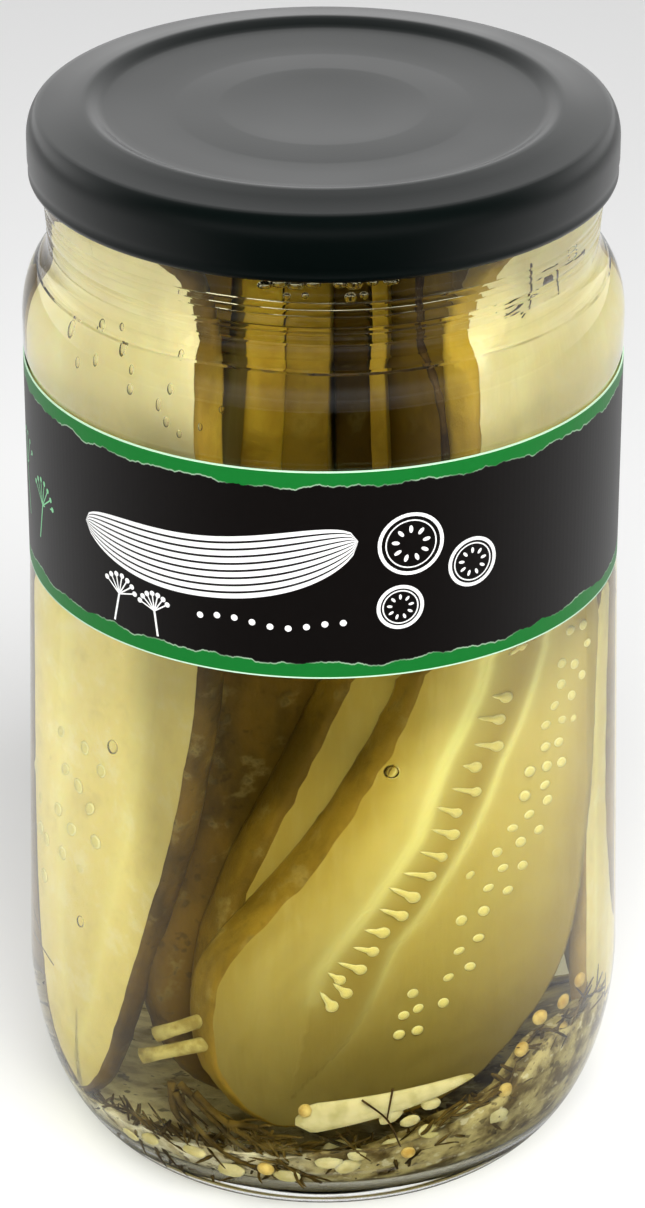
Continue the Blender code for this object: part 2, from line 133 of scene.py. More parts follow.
# Each slice, in millimetres and degrees:
#   turn: the azimuth that its outer face looks to, 0 for the front and + to the right
#   out, thick: that face's distance from the axis, and the slice's thickness
#   edges: its left and right edges as above; or foot, head, bend, width and skew of a plain outline
#   bevels: how far skin shows at the outer and the inner face
#   tone: its skin, from 0, yellow olive, to 1, dark brown; faded: the tone is weak between two heights
#   shade: how much painted shade darkens its flesh; pale: how much paler its flesh is
#   grey_right: painted shade that dims the right part, by (start, reach, foot, head, amount)
#   skin_right: how much skin shows at the right edge; skinned: the outer face is skin
#   fine: the face with seams and seeds; narrow_foot: less skin shows near the foot
SLICES = {
    "front": dict(
        turn=20, out=30.2, thick=6.6, tone=0.8, bevels=(1.3, 0.6), fine=True,
        grey_right=(8, 18, 25, 100, 0.5), skin_right=0.3, narrow_foot=True,
        edges=(
            ((-6, 15), (-19, 17), (-26.5, 25), (-28.5, 34), (-28, 41), (-26, 46), (-22.5, 50.5), (-18, 55.5),
             (-13.5, 61), (-8.5, 68), (-4, 76), (0, 84.5), (3, 92), (9, 102), (18, 108)),
            ((-6, 15), (4, 16.5), (14, 22), (25, 37), (29.5, 58), (31, 80), (31, 95), (27, 104), (18, 108)),
        ),
    ),
    "second": dict(
        turn=20, out=23.8, thick=6.8, tone=0.9, bevels=(1.2, 0.8), shade=0.55,
        edges=(
            ((-6, 15), (-20, 20), (-25, 32), (-24.5, 44), (-22.5, 51), (-19, 60), (-16, 66), (-11.5, 76),
             (-6.5, 87), (-2, 98), (12, 110)),
            ((-6, 15), (10, 18), (22, 34), (28, 60), (30, 90), (24, 105), (12, 110)),
        ),
    ),
    "third": dict(
        turn=18, out=17.2, thick=6.6, tone=1.0, bevels=(2.0, 1.0), skinned=True,
        edges=(
            ((-10, 14), (-24, 20), (-30, 40), (-29, 70), (-24, 96), (-14, 110), (0, 117)),
            ((-10, 14), (6, 18), (18, 34), (23, 60), (22, 90), (15, 110), (0, 117)),
        ),
    ),
    "left": dict(
        turn=-50, out=36.0, thick=5.4, tone=1.0, bevels=(0.9, 2.0), pale=0.8,
        grey_right=(1, 6, 26, 136, 0.85), faded=(100, 144),
        edges=(
            ((-10, 10), (-17, 20), (-21.5, 45), (-22, 90), (-22, 140), (-19, 153), (-6, 156.5)),
            ((-10, 10), (-4, 16), (1.5, 32), (8, 53), (13, 70), (17, 95), (17.5, 125), (16.5, 148),
             (11, 155.5), (-6, 156.5)),
        ),
    ),
    "right": dict(
        turn=60, out=35.5, thick=6.0, tone=0.5, bevels=(0.9, 1.6), pale=0.7,
        edges=(
            ((4, 90), (-8, 93), (-15, 102), (-19, 116), (-20.5, 134), (-20, 148), (-12, 155.5), (2, 156.5)),
            ((4, 90), (14, 96), (20, 110), (22, 140), (17, 154.5), (2, 156.5)),
        ),
    ),
    "sliver": dict(
        turn=80, out=38.5, thick=4.0, tone=0.6, bevels=(0.6, 0.6), pale=0.9,
        edges=(
            ((0, 16), (-8, 26), (-9, 60), (-8.5, 86), (0, 94)),
            ((0, 16), (7, 26), (9, 60), (8, 86), (0, 94)),
        ),
    ),
    # The low tones of some middle slices are partly painted light: their yellow-olive skins stand in for light
    # coming through the slices round them
    "middle_a": dict(turn=90, out=-11.0, thick=6.0, tone=0.45, bevels=(0.5, 0.5), shade=0.3, edges=TOP_EDGES),
    "middle_b": dict(turn=92, out=-5.8, thick=5.0, tone=0.1, bevels=(0.4, 0.4), shade=0.2, edges=CLUB_EDGES),
    "middle_c": dict(turn=89, out=1.2, thick=5.6, tone=0.6, bevels=(0.4, 0.4), shade=0.3, edges=CLUB_EDGES),
    "middle_d": dict(turn=90, out=5.4, thick=4.1, tone=0.95, bevels=(0.3, 0.3), shade=0.3, edges=SHY_EDGES),
    "middle_e": dict(turn=91, out=7.5, thick=2.0, tone=0.45, bevels=(0.2, 0.2), shade=0.2, edges=CLUB_EDGES),
    "middle_f": dict(turn=88, out=15.9, thick=8.2, tone=0.65, bevels=(0.5, 0.5), shade=0.3, edges=SHY_EDGES),
    "middle_g": dict(turn=90, out=18.8, thick=2.8, tone=0.65, bevels=(0.3, 0.3), shade=0.1, edges=CLUB_EDGES),
    "back": dict(
        turn=180, out=35.5, foot=(3, 12), head=(-2, 151), bend=-3, width=44, thick=6.6, skew=1.0,
        tone=0.6, bevels=(1.2, 1.6), pale=0.3,
    ),
    "left_back": dict(
        turn=-125, out=35.0, foot=(2, 14), head=(-3, 148), bend=3, width=40, thick=6.4, skew=1.1,
        tone=0.7, bevels=(1.2, 1.6), pale=0.4,
    ),
    "right_back": dict(
        turn=118, out=34.5, foot=(-3, 13), head=(3, 150), bend=-2, width=42, thick=6.6, skew=0.9,
        tone=0.8, bevels=(1.2, 1.6), pale=0.4,
    ),
}
SLICE_FULLNESS = 2.4
# How far a slice sways, its skin's warts stand out and its cut face is uneven
SLICE_WAVE = 0.5
WART_HEIGHT = 0.35
FACE_RELIEF = 0.15
# Vertices around a slice and rings across each face
FINE_GRID = (360, 40)
PLAIN_GRID = (160, 12)
SLICE_GROUPS = {
    "front_slices": ("front", "second", "third"),
    "side_slices": ("left", "right", "sliver"),
    "middle_slices": ("middle_a", "middle_b", "middle_c", "middle_d", "middle_e", "middle_f", "middle_g"),
    "back_slices": ("back", "left_back", "right_back"),
}

# On the front slice's cut face, as (sideways, height): the two bright seams that the seeds grow from
LEFT_SEAM = (
    (15, 104), (12.0, 90.4), (10.9, 85.9), (8.5, 80.2), (6.0, 75.2), (4.0, 69.3), (2.3, 63.3),
    (-1.5, 56.9), (-5.0, 51.8), (-8.5, 47.4), (-11.5, 42.7), (-12.5, 38.0),
)
RIGHT_SEAM = (
    (24.0, 104.0), (20.9, 91.5), (19.3, 85.8), (17.1, 79.4), (14.3, 73.2), (12.0, 66.7), (9.6, 61.6),
    (6.1, 55.3), (2.6, 49.6), (-0.9, 45.3), (-2.6, 40.5), (-4.9, 35.1), (-7.9, 29.7), (-10.3, 27.2),
)
# Its seeds in the comb between the seams, each from the thick end to the thin one
COMB_SEEDS = (
    ((16.9, 91.4), (15.3, 90.3)), ((14.6, 83.9), (12.4, 84.7)), ((13.6, 80.5), (10.3, 81.5)),
    ((13.4, 76.1), (9.8, 77.3)), ((10.2, 73.4), (8.3, 74.1)), ((10.2, 69.3), (6.6, 70.7)),
    ((7.5, 66.4), (4.5, 68.1)), ((7.2, 62.8), (3.8, 64.5)), ((5.5, 59.4), (2.3, 61.0)),
    ((3.9, 56.5), (0.0, 57.8)), ((1.7, 53.3), (-1.8, 55.7)), ((0.0, 50.5), (-3.3, 52.4)),
    ((-2.6, 48.1), (-5.3, 49.1)), ((-4.1, 45.2), (-7.0, 46.5)), ((-5.8, 42.4), (-9.1, 44.2)),
    ((-8.8, 41.2), (-10.4, 42.6)), ((-7.8, 38.7), (-9.7, 40.7)), ((-9.8, 36.7), (-11.5, 39.5)),
    ((18.2, 96.5), (15.4, 96.0)), ((19.4, 101.0), (16.6, 100.6)),
)
LOOSE_SEEDS = (
    (25.0, 92.1), (27.6, 92.4), (28.6, 89.3), (23.5, 87.1), (25.9, 86.4), (27.5, 84.2), (23.4, 83.8),
    (25.4, 81.4), (22.3, 80.4), (23.7, 77.9), (25.9, 77.4), (20.8, 77.6), (20.8, 74.0), (23.1, 74.2),
    (18.3, 70.5), (21.1, 70.6), (23.7, 70.5), (20.8, 67.5), (17.6, 66.5), (21.3, 64.8), (18.3, 63.2),
    (19.9, 60.2), (15.7, 61.7), (17.0, 58.9), (13.4, 58.3), (14.3, 55.3), (17.3, 55.0), (9.5, 55.2),
    (12.2, 52.4), (15.1, 51.2), (11.6, 48.5), (8.3, 47.8), (10.8, 44.2), (8.0, 42.6), (9.6, 39.6),
    (6.5, 38.4), (1.5, 36.9), (5.8, 34.2), (2.3, 33.9), (0.2, 33.2), (2.2, 30.1), (-0.4, 29.9),
)

# Fainter ones in the slice at the left
FAINT_SEEDS = (
    (-20.6, 61.5), (-15.4, 66.0), (-11.7, 65.8), (-8.5, 64.3), (-18.9, 57.1), (-13.6, 57.9), (-10.5, 56.1),
    (-16.9, 50.8), (-12.5, 50.8), (-8.4, 50.2), (-17.7, 44.0), (-6.4, 61.6), (-5.1, 56.4), (-12.6, 71.8),
    (-7.1, 71.5), (-19.0, 51.8), (-3.8, 69.2),
)

# Small things by (azimuth, distance from the axis, height)
MUSTARD_AT = (
    (-3.6, 41.5, 22.8), (17.9, 39.9, 13.5), (-12.4, 38.9, 10.7), (39.7, 41.2, 20.2), (43.5, 41.6, 26.3),
    (48.4, 41.9, 30.4), (55.8, 42.0, 30.5), (62.0, 42.1, 31.9), (36.4, 35.6, 145.2),
)
CHIPS_AT = (
    (22.1, 41.2, 22.0), (29.3, 40.8, 19.1), (17.8, 40.8, 19.5), (22.2, 40.5, 16.9), (6.8, 39.8, 14.2),
    (1.2, 39.3, 12.8), (5.3, 39.0, 11.8), (-8.0, 38.0, 9.5), (-20.6, 37.9, 9.1), (-40.4, 38.7, 10.6),
    (-47.0, 38.1, 9.1), (-28.6, 39.0, 11.6), (37.9, 40.4, 16.0), (13.7, 41.2, 21.1),
)
SPRIGS = (
    ((-32.4, 40.8, 23.4), (-32.1, 40.1, 18.1), (-27.3, 39.3, 14.8), (-19.9, 38.1, 11.5), (-12.3, 37.5, 10.1)),
    ((-30.5, 40.8, 23.8), (-24.7, 40.3, 19.8), (-17.7, 39.0, 14.3), (-10.4, 38.3, 12.0), (-3.8, 37.2, 9.4)),
    ((-27.1, 40.7, 22.8), (-21.4, 40.1, 19.0), (-15.0, 39.5, 16.2), (-7.1, 38.0, 11.4), (-0.4, 36.5, 8.0)),
    ((-31.5, 40.8, 22.0), (-27.5, 40.2, 17.0), (-22.0, 39.2, 13.0), (-15.0, 38.2, 10.5)),
    ((-19.8, 40.0, 18.5), (-13.2, 39.9, 18.3), (-10.1, 39.4, 16.0)),
    ((-19.0, 39.9, 17.9), (-11.8, 39.2, 15.0), (-6.1, 39.2, 15.1)),
)
TWIGS = (
    ((7.6, 42.3, 24.8), (12.7, 41.9, 20.8), (15.9, 40.8, 15.2)),
    ((13.7, 42.4, 26.3), (12.7, 41.9, 20.8)),
    ((-83.3, 43.0, 36.0), (-75.9, 43.0, 35.0)),
    ((-83.3, 43.2, 31.7), (-72.8, 43.2, 32.8), (-66.7, 43.2, 32.6)),
    ((70.7, 37.2, 149.4), (64.4, 37.2, 149.3), (57.8, 37.2, 149.2), (53.5, 37.2, 149.6), (48.5, 37.2, 147.8),
     (40.7, 37.2, 146.2), (37.1, 37.2, 145.3)),
    ((48.2, 37.2, 153.1), (48.7, 37.2, 148.9), (48.5, 37.2, 146.6), (46.1, 37.2, 144.8)),
    ((57.7, 37.2, 149.8), (58.7, 37.2, 146.3)),
)
NEEDLE_COUNT = 520
STALK = (
    (21.8, 34.0, 154.6), (21.4, 34.0, 150.6), (22.4, 34.0, 147.6), (22.0, 34.0, 144.1), (23.0, 36.4, 140.1),
    (23.8, 37.6, 137.6), (24.8, 38.0, 133.1), (26.0, 38.0, 122.0),
)
STUBS = (((-37.0, 39.4, 30.2), (-23.0, 39.0, 36.4)), ((-40.3, 40.0, 25.7), (-24.0, 39.2, 31.6)))
# Bubbles on the inside of the glass, as (azimuth, height, half width, half height)
BUBBLES = (
    (-12.4, 154.4, 1.0, 0.5), (-9.4, 154.8, 1.3, 0.6), (-5.9, 154.6, 1.2, 0.65), (-2.2, 154.9, 1.2, 0.6),
    (3.4, 154.9, 0.9, 0.55), (6.4, 154.8, 1.3, 0.8), (10.2, 155.0, 0.9, 0.5), (14.3, 154.8, 1.1, 0.5),
    (-7.6, 153.3, 0.6, 0.4), (-3.8, 153.5, 0.5, 0.4), (5.6, 153.2, 0.8, 0.5), (8.4, 153.4, 0.6, 0.4),
    (65.2, 151.0, 1.1, 1.1), (41.0, 146.2, 1.2, 1.0), (38.8, 147.6, 0.7, 0.6), (-59.6, 140.1, 0.6, 1.3),
    (-30.9, 151.9, 0.5, 0.5), (-51.3, 142.5, 0.55, 1.2), (-46.0, 143.4, 0.4, 0.8), (-43.6, 141.0, 0.5, 1.1),
    (-40.1, 139.1, 0.35, 0.7), (-49.8, 138.4, 0.4, 0.9), (-40.0, 136.5, 0.5, 0.8), (-29.7, 142.4, 0.45, 0.9),
    (-33.1, 135.6, 0.4, 0.9), (-30.7, 138.1, 0.45, 0.8), (-31.4, 133.4, 0.45, 0.8), (-28.5, 132.1, 0.4, 0.6),
    (-24.0, 133.8, 0.35, 0.6), (-55.0, 136.9, 0.4, 0.8), (-19.7, 136.7, 0.4, 0.5), (-46.2, 77.5, 0.95, 1.2),
    (-56.2, 44.5, 0.8, 1.0), (13.5, 79.8, 1.2, 1.1),
)

# How high the spices bank up against the wall, as (azimuth, height)
BANK_HEIGHTS = (
    (-180, 10), (-100, 10), (-60, 12), (-20, 14), (10, 16), (35, 20),
    (52, 27), (68, 27), (90, 15), (120, 10), (180, 10),
)
BED_CENTRE_Z = 10.2
# Radii of the bed's rings, and the gap that it keeps from the glass
BED_RADII = (4, 9, 14, 19, 24, 28, 31, 34, 37, 39.5, 41.5, 44)
BED_GAP = 0.35


def srgb(red, green, blue):
    """A colour given as 0 to 255, in the linear values that shaders take."""
    shares = (red / 255, green / 255, blue / 255)
    return tuple(c / 12.92 if c < 0.0404 else ((c + 0.055) / 1.055) ** 2.4 for c in shares)


def colour_setting(name, description, *colour):
    return FloatVectorProperty(
        name=name, description=description, subtype="COLOR", default=srgb(*colour), min=0, max=1
    )


class JarSettings(bpy.types.PropertyGroup):
    """Sizes and colours of the jar's look."""

    steps: IntProperty(name="Steps", description="Sides of each turned piece", default=240, min=48)
    flesh: colour_setting("Flesh", "Cut cucumber", 224, 202, 106)
    skin: colour_setting("Skin", "Cucumber skin", 114, 88, 26)
    lacquer: colour_setting("Lacquer", "Lid lacquer", 2, 8, 7)
    paper: colour_setting("Paper", "Ground of the band", 13, 10, 9)
    green: colour_setting("Green", "Band's edges", 3, 108, 34)
    brine_top: FloatProperty(
        name="Brine top", description="Height of the brine", default=160.0 * MM, unit="LENGTH", min=0.1
    )
    brine_density: FloatProperty(
        name="Brine density", description="How strongly it tints light, per metre", default=14.0, min=0
    )


def settings():
    return bpy.context.scene.pickle_jar


class Value:
    """A shader's number, so that shader maths is written as Python."""

    def __init__(self, look, socket):
        self.look = look
        self.socket = socket

    def maths(self, operation, *terms):
        return self.look.node("ShaderNodeMath", {"operation": operation}, dict(enumerate(terms)))

    def __add__(self, other):
        return self.maths("ADD", self, other)

    def __radd__(self, other):
        return self.maths("ADD", other, self)

    def __sub__(self, other):
        return self.maths("SUBTRACT", self, other)

    def __rsub__(self, other):
        return self.maths("SUBTRACT", other, self)

    def __mul__(self, other):
        return self.maths("MULTIPLY", self, other)

    def __truediv__(self, other):
        return self.maths("DIVIDE", self, other)

    def __gt__(self, other):
        return self.maths("GREATER_THAN", self, other)

    def __lt__(self, other):
        return self.maths("LESS_THAN", self, other)

    def __abs__(self):
        return self.maths("ABSOLUTE", self)

    def larger(self, other):
        return self.maths("MAXIMUM", self, other)

    def smaller(self, other):
        return self.maths("MINIMUM", self, other)

    def clamped(self):
        return self.look.node("ShaderNodeClamp", {}, {0: self})

    def between(self, low, high):
        """0 below low, 1 above high and smooth between them."""
        return self.look.node(
            "ShaderNodeMapRange", {"interpolation_type": "SMOOTHSTEP"}, {0: self, 1: low, 2: high}
        )


class Look:
    """A procedural material, or the sky."""

    def __init__(self, name, kind="materials"):
        self.material = getattr(bpy.data, kind).new(name)
        self.material.use_nodes = True
        self.tree = self.material.node_tree
        self.tree.nodes.clear()

    def node(self, kind, options=None, sockets=None, out=0):
        """Adds a node: its options first, then the values or links of its sockets."""
        made = self.tree.nodes.new(kind)
        for key, value in (options or {}).items():
            setattr(made, key, value)
        for key, value in (sockets or {}).items():
            socket = made.inputs[key]
            if isinstance(value, Value):
                self.tree.links.new(value.socket, socket)
            else:
                socket.default_value = value
        return Value(self, made.outputs[out]) if made.outputs else None

    def mix(self, factor, first, second):
        sides = {0: factor}
        for key, colour in ((6, first), (7, second)):
            sides[key] = colour if isinstance(colour, Value) else (*colour, 1.0)
        return self.node("ShaderNodeMix", {"data_type": "RGBA"}, sides, out=2)

    def coats(self, colour, *coats):
        """A colour with others laid over it, each as (factor, (red, green, blue))."""
        for factor, coat in coats:
            colour = self.mix(factor, colour, srgb(*coat))
        return colour

    def attribute(self, name):
        return self.node("ShaderNodeAttribute", {"attribute_name": name}, out=2)

    def place(self, scale=(1.0, 1.0, 1.0)):
        coordinates = self.node("ShaderNodeTexCoord", out=3)
        return self.node("ShaderNodeVectorMath", {"operation": "MULTIPLY"}, {0: coordinates, 1: scale})

    def axis(self, number, vector=None):
        """X, Y or Z, by its number, of a vector or else of the place on the piece."""
        return self.node("ShaderNodeSeparateXYZ", {}, {0: vector or self.place()}, out=number)

    def noise(self, scale, detail=3.0, roughness=0.55, stretch=(1.0, 1.0, 1.0)):
        return self.node(
            "ShaderNodeTexNoise", {}, {"Vector": self.place(stretch), "Scale": scale, "Detail": detail,
                                       "Roughness": roughness},
        )

    def bump(self, height, strength, distance):
        return self.node(
            "ShaderNodeBump", {}, {"Height": height, "Strength": strength, "Distance": distance * MM}
        )

    def surface(self, shader):
        self.node("ShaderNodeOutputMaterial", {}, {"Surface": shader})
        return self

    def principled(self, **sockets):
        values = {}
        for key, value in sockets.items():
            if isinstance(value, tuple) and len(value) == 3 and key != "Subsurface_Radius":
                value = (*value, 1.0)
            values[key.replace("_", " ")] = value
        return self.node("ShaderNodeBsdfPrincipled", {}, values)

    def wet(self, colour, subsurface, normal):
        """A wet and solid surface that light enters a little."""
        return self.surface(self.principled(
            Base_Color=colour, Roughness=0.5, Specular_IOR_Level=0.15, Subsurface_Weight=subsurface,
            Subsurface_Radius=(1.0, 0.8, 0.4), Subsurface_Scale=1.5 * MM, Normal=normal,
        ))

    def clear(self, shader, pass_colour):
        """Lets lamps through a clear shader, so that they light what it shuts in."""
        lamp_ray = self.node("ShaderNodeLightPath", {}, {}, out=1)
        bounced = Value(self, lamp_ray.socket.node.outputs["Is Diffuse Ray"])
        through = self.node("ShaderNodeBsdfTransparent", {}, {"Color": (*pass_colour, 1.0)})
        return self.node("ShaderNodeMixShader", {}, {0: lamp_ray.larger(bounced), 1: shader, 2: through})


def ramp(value, low, high):
    """0 at low, 1 at high and straight between them."""
    return min(1.0, max(0.0, (value - low) / (high - low)))


def arc(centre, radii, start, end, count):
    """Points of an elliptical arc, in degrees from +X, as (radius, height)."""
    turns = [math.radians(start + (end - start) * i / count) for i in range(count + 1)]
    return [(centre[0] + radii[0] * math.cos(a), centre[1] + radii[1] * math.sin(a)) for a in turns]


def body_radius(z):
    """Outer radius of the glass between the heel and the paper band."""
    rise = z - HEEL_TOP_Z
    return BODY_LOW_RADIUS + (BODY_RADIUS - BODY_LOW_RADIUS) * rise / (LABEL_FOOT_Z - HEEL_TOP_Z)


def inner_profile(out=0.0):
    """The inside of the glass from the middle of the floor up to the neck, moved out into the glass."""
    heel_reach = body_radius(HEEL_TOP_Z) - WALL + out - FLOOR_FLAT_RADIUS
    floor = FLOOR_Z - out
    points = [(0.0, floor), (FLOOR_FLAT_RADIUS * 0.6, floor - 0.5)]
    points += arc((FLOOR_FLAT_RADIUS, HEEL_TOP_Z), (heel_reach, HEEL_TOP_Z - floor + 1.2), -90, 0, 18)
    points += [
        (body_radius(LABEL_FOOT_Z) - WALL + out, LABEL_FOOT_Z - 1.0),
        (LABEL_PANEL_RADIUS - WALL + out, LABEL_FOOT_Z + 4.0),
        (LABEL_PANEL_RADIUS - WALL + out, SHOULDER_FOOT_Z - 2.0),
    ]
    reach = LABEL_PANEL_RADIUS - WALL - THROAT_RADIUS
    points += arc((THROAT_RADIUS + out, SHOULDER_FOOT_Z), (reach, 8.6), 6, 84, 12)
    points.append((THROAT_RADIUS + out, SHOULDER_TOP_Z + 2.0))
    return points


def inside_to_mouth(out=0.0):
    """The inside of the glass from the middle of the floor up to the rim."""
    mouth = [(THROAT_RADIUS + out, THROAT_TOP_Z), (MOUTH_RADIUS + out, MOUTH_FOOT_Z)]
    return inner_profile(out) + mouth


def outer_profile():
    """The outside of the glass from the rim down to the middle of the base."""
    shoulder_centre = (BODY_RADIUS - SHOULDER_REACH, SHOULDER_FOOT_Z)
    points = [
        (FINISH_RADIUS, 159.5), (NECK_RADIUS + 0.05, 157.6),
        (NECK_RADIUS + NECK_FLARE, 155.6), (NECK_RADIUS + NECK_FLARE, 154.2),
    ]
    for height, width, depth in NECK_LINES[:NECK_GROOVES]:
        waist = NECK_WAIST * (1.0 - ramp(height, NECK_FILLET_Z, 149.4))
        level = NECK_RADIUS + NECK_FLARE * ramp(height, 150.0, 153.5) - waist
        points += [(level, height + width), (level - depth, height), (level, height - width)]
    fillet_centre = (NECK_RADIUS - NECK_WAIST + NECK_FILLET, NECK_FILLET_Z)
    points += arc(fillet_centre, (NECK_FILLET, NECK_FILLET), 180, 219, 8)
    points += arc(shoulder_centre, (SHOULDER_REACH, SHOULDER_DROP), 57, 0, 16)
    points += [
        (BODY_RADIUS, LABEL_TOP_Z + 1.6),
        (LABEL_PANEL_RADIUS + 0.15, LABEL_TOP_Z + 0.9),
        (LABEL_PANEL_RADIUS, LABEL_TOP_Z + 0.3),
        (LABEL_PANEL_RADIUS, LABEL_FOOT_Z - 0.3),
        (LABEL_PANEL_RADIUS + 0.1, LABEL_FOOT_Z - 0.9),
        (body_radius(LABEL_FOOT_Z - 2.0), LABEL_FOOT_Z - 2.0),
    ]
    heel_reach = BODY_LOW_RADIUS - BASE_RING_RADIUS
    points += arc((BASE_RING_RADIUS, HEEL_TOP_Z), (heel_reach, HEEL_TOP_Z), 0, -90, 30)
    points += [(BASE_DISH_RADIUS + 0.6, 0.0), (BASE_DISH_RADIUS, 0.15), (BASE_DISH_RADIUS - 2.0, 1.43)]
    points += [(BASE_DISH_RADIUS * 0.8, 2.0), (BASE_DISH_RADIUS * 0.4, 2.5), (0.0, BASE_DISH_DEPTH)]
    return points


INSIDE = inner_profile()


def inside_radius(z):
    """Inner radius of the glass at this height."""
    for (r0, z0), (r1, z1) in zip(INSIDE, INSIDE[1:]):
        if z0 <= z <= z1 and z1 > z0:
            return r0 + (r1 - r0) * (z - z0) / (z1 - z0)
    return THROAT_RADIUS


def bridged(rings):
    """Faces between closed rings of vertex numbers, each joined to the next."""
    faces = []
    for a, b in zip(rings, rings[1:]):
        for i in range(len(a)):
            j = (i + 1) % len(a)
            corners = list(dict.fromkeys((a[i], a[j], b[j], b[i])))
            if len(corners) > 2:
                faces.append(corners)
    return faces


def sheet_faces(across, along):
    """Faces of an open sheet: so many rows along, with so many vertices across."""
    starts = [i * across + k for i in range(along - 1) for k in range(across - 1)]
    return [[a, a + 1, a + across + 1, a + across] for a in starts]


def capped(sides, count):
    """Faces of a closed body: count rings of this many vertices, in order, and its two ends."""
    rings = [list(range(i * sides, (i + 1) * sides)) for i in range(count)]
    return bridged(rings) + [rings[0][::-1], rings[-1]]


def turned(profile, steps):
    """Vertices and faces of a profile turned about Z. Points on the axis are made once."""
    verts, rings = [], []
    for r, z in profile:
        if r < 1e-6:
            rings.append([len(verts)] * steps)
            verts.append((0.0, 0.0, z))
            continue
        rings.append(list(range(len(verts), len(verts) + steps)))
        angles = [math.tau * i / steps for i in range(steps)]
        verts += [(r * math.cos(angle), r * math.sin(angle), z) for angle in angles]
    return verts, bridged(rings)


def placed(name, data):
    """A new object of the scene."""
    obj = bpy.data.objects.new(name, data)
    bpy.context.scene.collection.objects.link(obj)
    return obj


def aimed(obj, place, target):
    """Puts a lamp or camera at a place and turns it to its target."""
    obj.location = place
    obj.rotation_euler = (Vector(target) - Vector(place)).to_track_quat("-Z", "Y").to_euler()


def piece(name, shape, look, replaces=(), attributes=None, smooth=True, weld=False):
    """A visible piece from vertices in millimetres and faces, riding on the jar's one body."""
    verts, faces = shape
    mesh = bpy.data.meshes.new(name)
    mesh.from_pydata([Vector(v) * MM for v in verts], [], faces)
    for key, values in (attributes or {}).items():
        mesh.attributes.new(key, "FLOAT", "POINT").data.foreach_set("value", values)
    bm = bmesh.new()
    bm.from_mesh(mesh)
    if weld:
        bmesh.ops.remove_doubles(bm, verts=bm.verts, dist=0.01 * MM)
    bmesh.ops.recalc_face_normals(bm, faces=bm.faces)
    for face in bm.faces:
        face.smooth = smooth
    bm.to_mesh(mesh)
    bm.free()
    mesh.materials.append(look.material)
    obj = placed(name, mesh)
    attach(obj, "root")
    if replaces:
        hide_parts(*replaces)
    return obj


def joined(shapes):
    """Many small shapes as one."""
    verts, faces = [], []
    for more_verts, more_faces in shapes:
        start = len(verts)
        verts += more_verts
        faces += [[start + i for i in face] for face in more_faces]
    return verts, faces


def plane_axes(turn):
    """The outward and sideways directions of a face that looks to this azimuth."""
    angle = math.radians(turn)
    return Vector((math.sin(angle), -math.cos(angle), 0.0)), Vector((math.cos(angle), math.sin(angle), 0.0))


def place_of(turn, radius, z):
    return plane_axes(turn)[0] * radius + Vector((0.0, 0.0, z))


def ball(place, size, spin, rings=6, sides=8, rough=0.0, draw=None):
    """A closed rounded lump: size is its three half lengths."""
    turn = Euler(spin).to_matrix()
    verts, faces = [place + turn @ Vector((0, 0, size[2]))], []
    for k in range(1, rings):
        up = math.pi * k / rings
        for i in range(sides):
            round_turn = math.tau * i / sides
            swell = 1.0 + (draw.uniform(-rough, rough) if draw else 0.0)
            girth = math.sin(up)
            corner = (girth * math.cos(round_turn), girth * math.sin(round_turn), math.cos(up))
            verts.append(place + turn @ Vector([c * s * swell for c, s in zip(Vector(corner), size)]))
    verts.append(place + turn @ Vector((0, 0, -size[2])))
    last = len(verts) - 1
    for i in range(sides):
        j = (i + 1) % sides
        faces.append([0, 1 + i, 1 + j])
        faces.append([last, last - sides + j, last - sides + i])
        for k in range(rings - 2):
            a, b = 1 + k * sides, 1 + (k + 1) * sides
            faces.append([a + i, b + i, b + j, a + j])
    return [tuple(v) for v in verts], faces


def tube(points, radii, sides=6):
    """A closed round tube through the points."""
    verts = []
    count = len(points)
    side = Vector((0.3, 0.2, 0.93))
    for i, point in enumerate(points):
        along = (points[min(i + 1, count - 1)] - points[max(i - 1, 0)]).normalized()
        across = along.cross(side).normalized()
        up = across.cross(along)
        for k in range(sides):
            angle = math.tau * k / sides
            verts.append(tuple(point + (across * math.cos(angle) + up * math.sin(angle)) * radii[i]))
    return verts, capped(sides, count)


def smooth_route(points, count):
    """Points along a smooth curve through the given ones."""
    route = []
    spans = len(points) - 1
    for i in range(count):
        place = i / (count - 1) * spans
        k = min(int(place), spans - 1)
        share = place - k
        a, b = points[max(k - 1, 0)], points[k]
        c, d = points[k + 1], points[min(k + 2, spans)]
        route.append(
            b + (c - a) * 0.5 * share
            + (a * 2 - b * 5 + c * 4 - d) * 0.5 * share ** 2
            + (b * 3 - a - c * 3 + d) * 0.5 * share ** 3
        )
    return route


def slice_sides(spec, count):
    """The slice's left and right edges from foot to head, and each point's share of its length."""
    shares = [0.5 - 0.5 * math.cos(math.pi * i / count) for i in range(count + 1)]
    if "edges" in spec:
        routes = (smooth_route([Vector(p) for p in edge], 240) for edge in spec["edges"])
        return *(spaced(route, shares) for route in routes), shares
    foot, head = Vector(spec["foot"]), Vector(spec["head"])
    along = head - foot
    across = Vector((along.y, -along.x)).normalized()
    left, right = [], []
    for share in shares:
        skewed = share ** spec["skew"]
        reach = spec["width"] / 2 * math.sqrt(max(0.0, 1.0 - abs(2 * skewed - 1) ** SLICE_FULLNESS))
        middle = foot + along * share + across * spec["bend"] * 4 * share * (1 - share)
        left.append(middle - across * reach)
        right.append(middle + across * reach)
    return left, right, shares


def spaced(route, shares):
    """Points of a route at these shares of its length."""
    lengths = [0.0]
    for a, b in zip(route, route[1:]):
        lengths.append(lengths[-1] + (b - a).length)
    points, k = [], 0
    for share in shares:
        goal = share * lengths[-1]
        while k < len(route) - 2 and lengths[k + 1] < goal:
            k += 1
        points.append(route[k].lerp(route[k + 1], (goal - lengths[k]) / (lengths[k + 1] - lengths[k])))
    return points


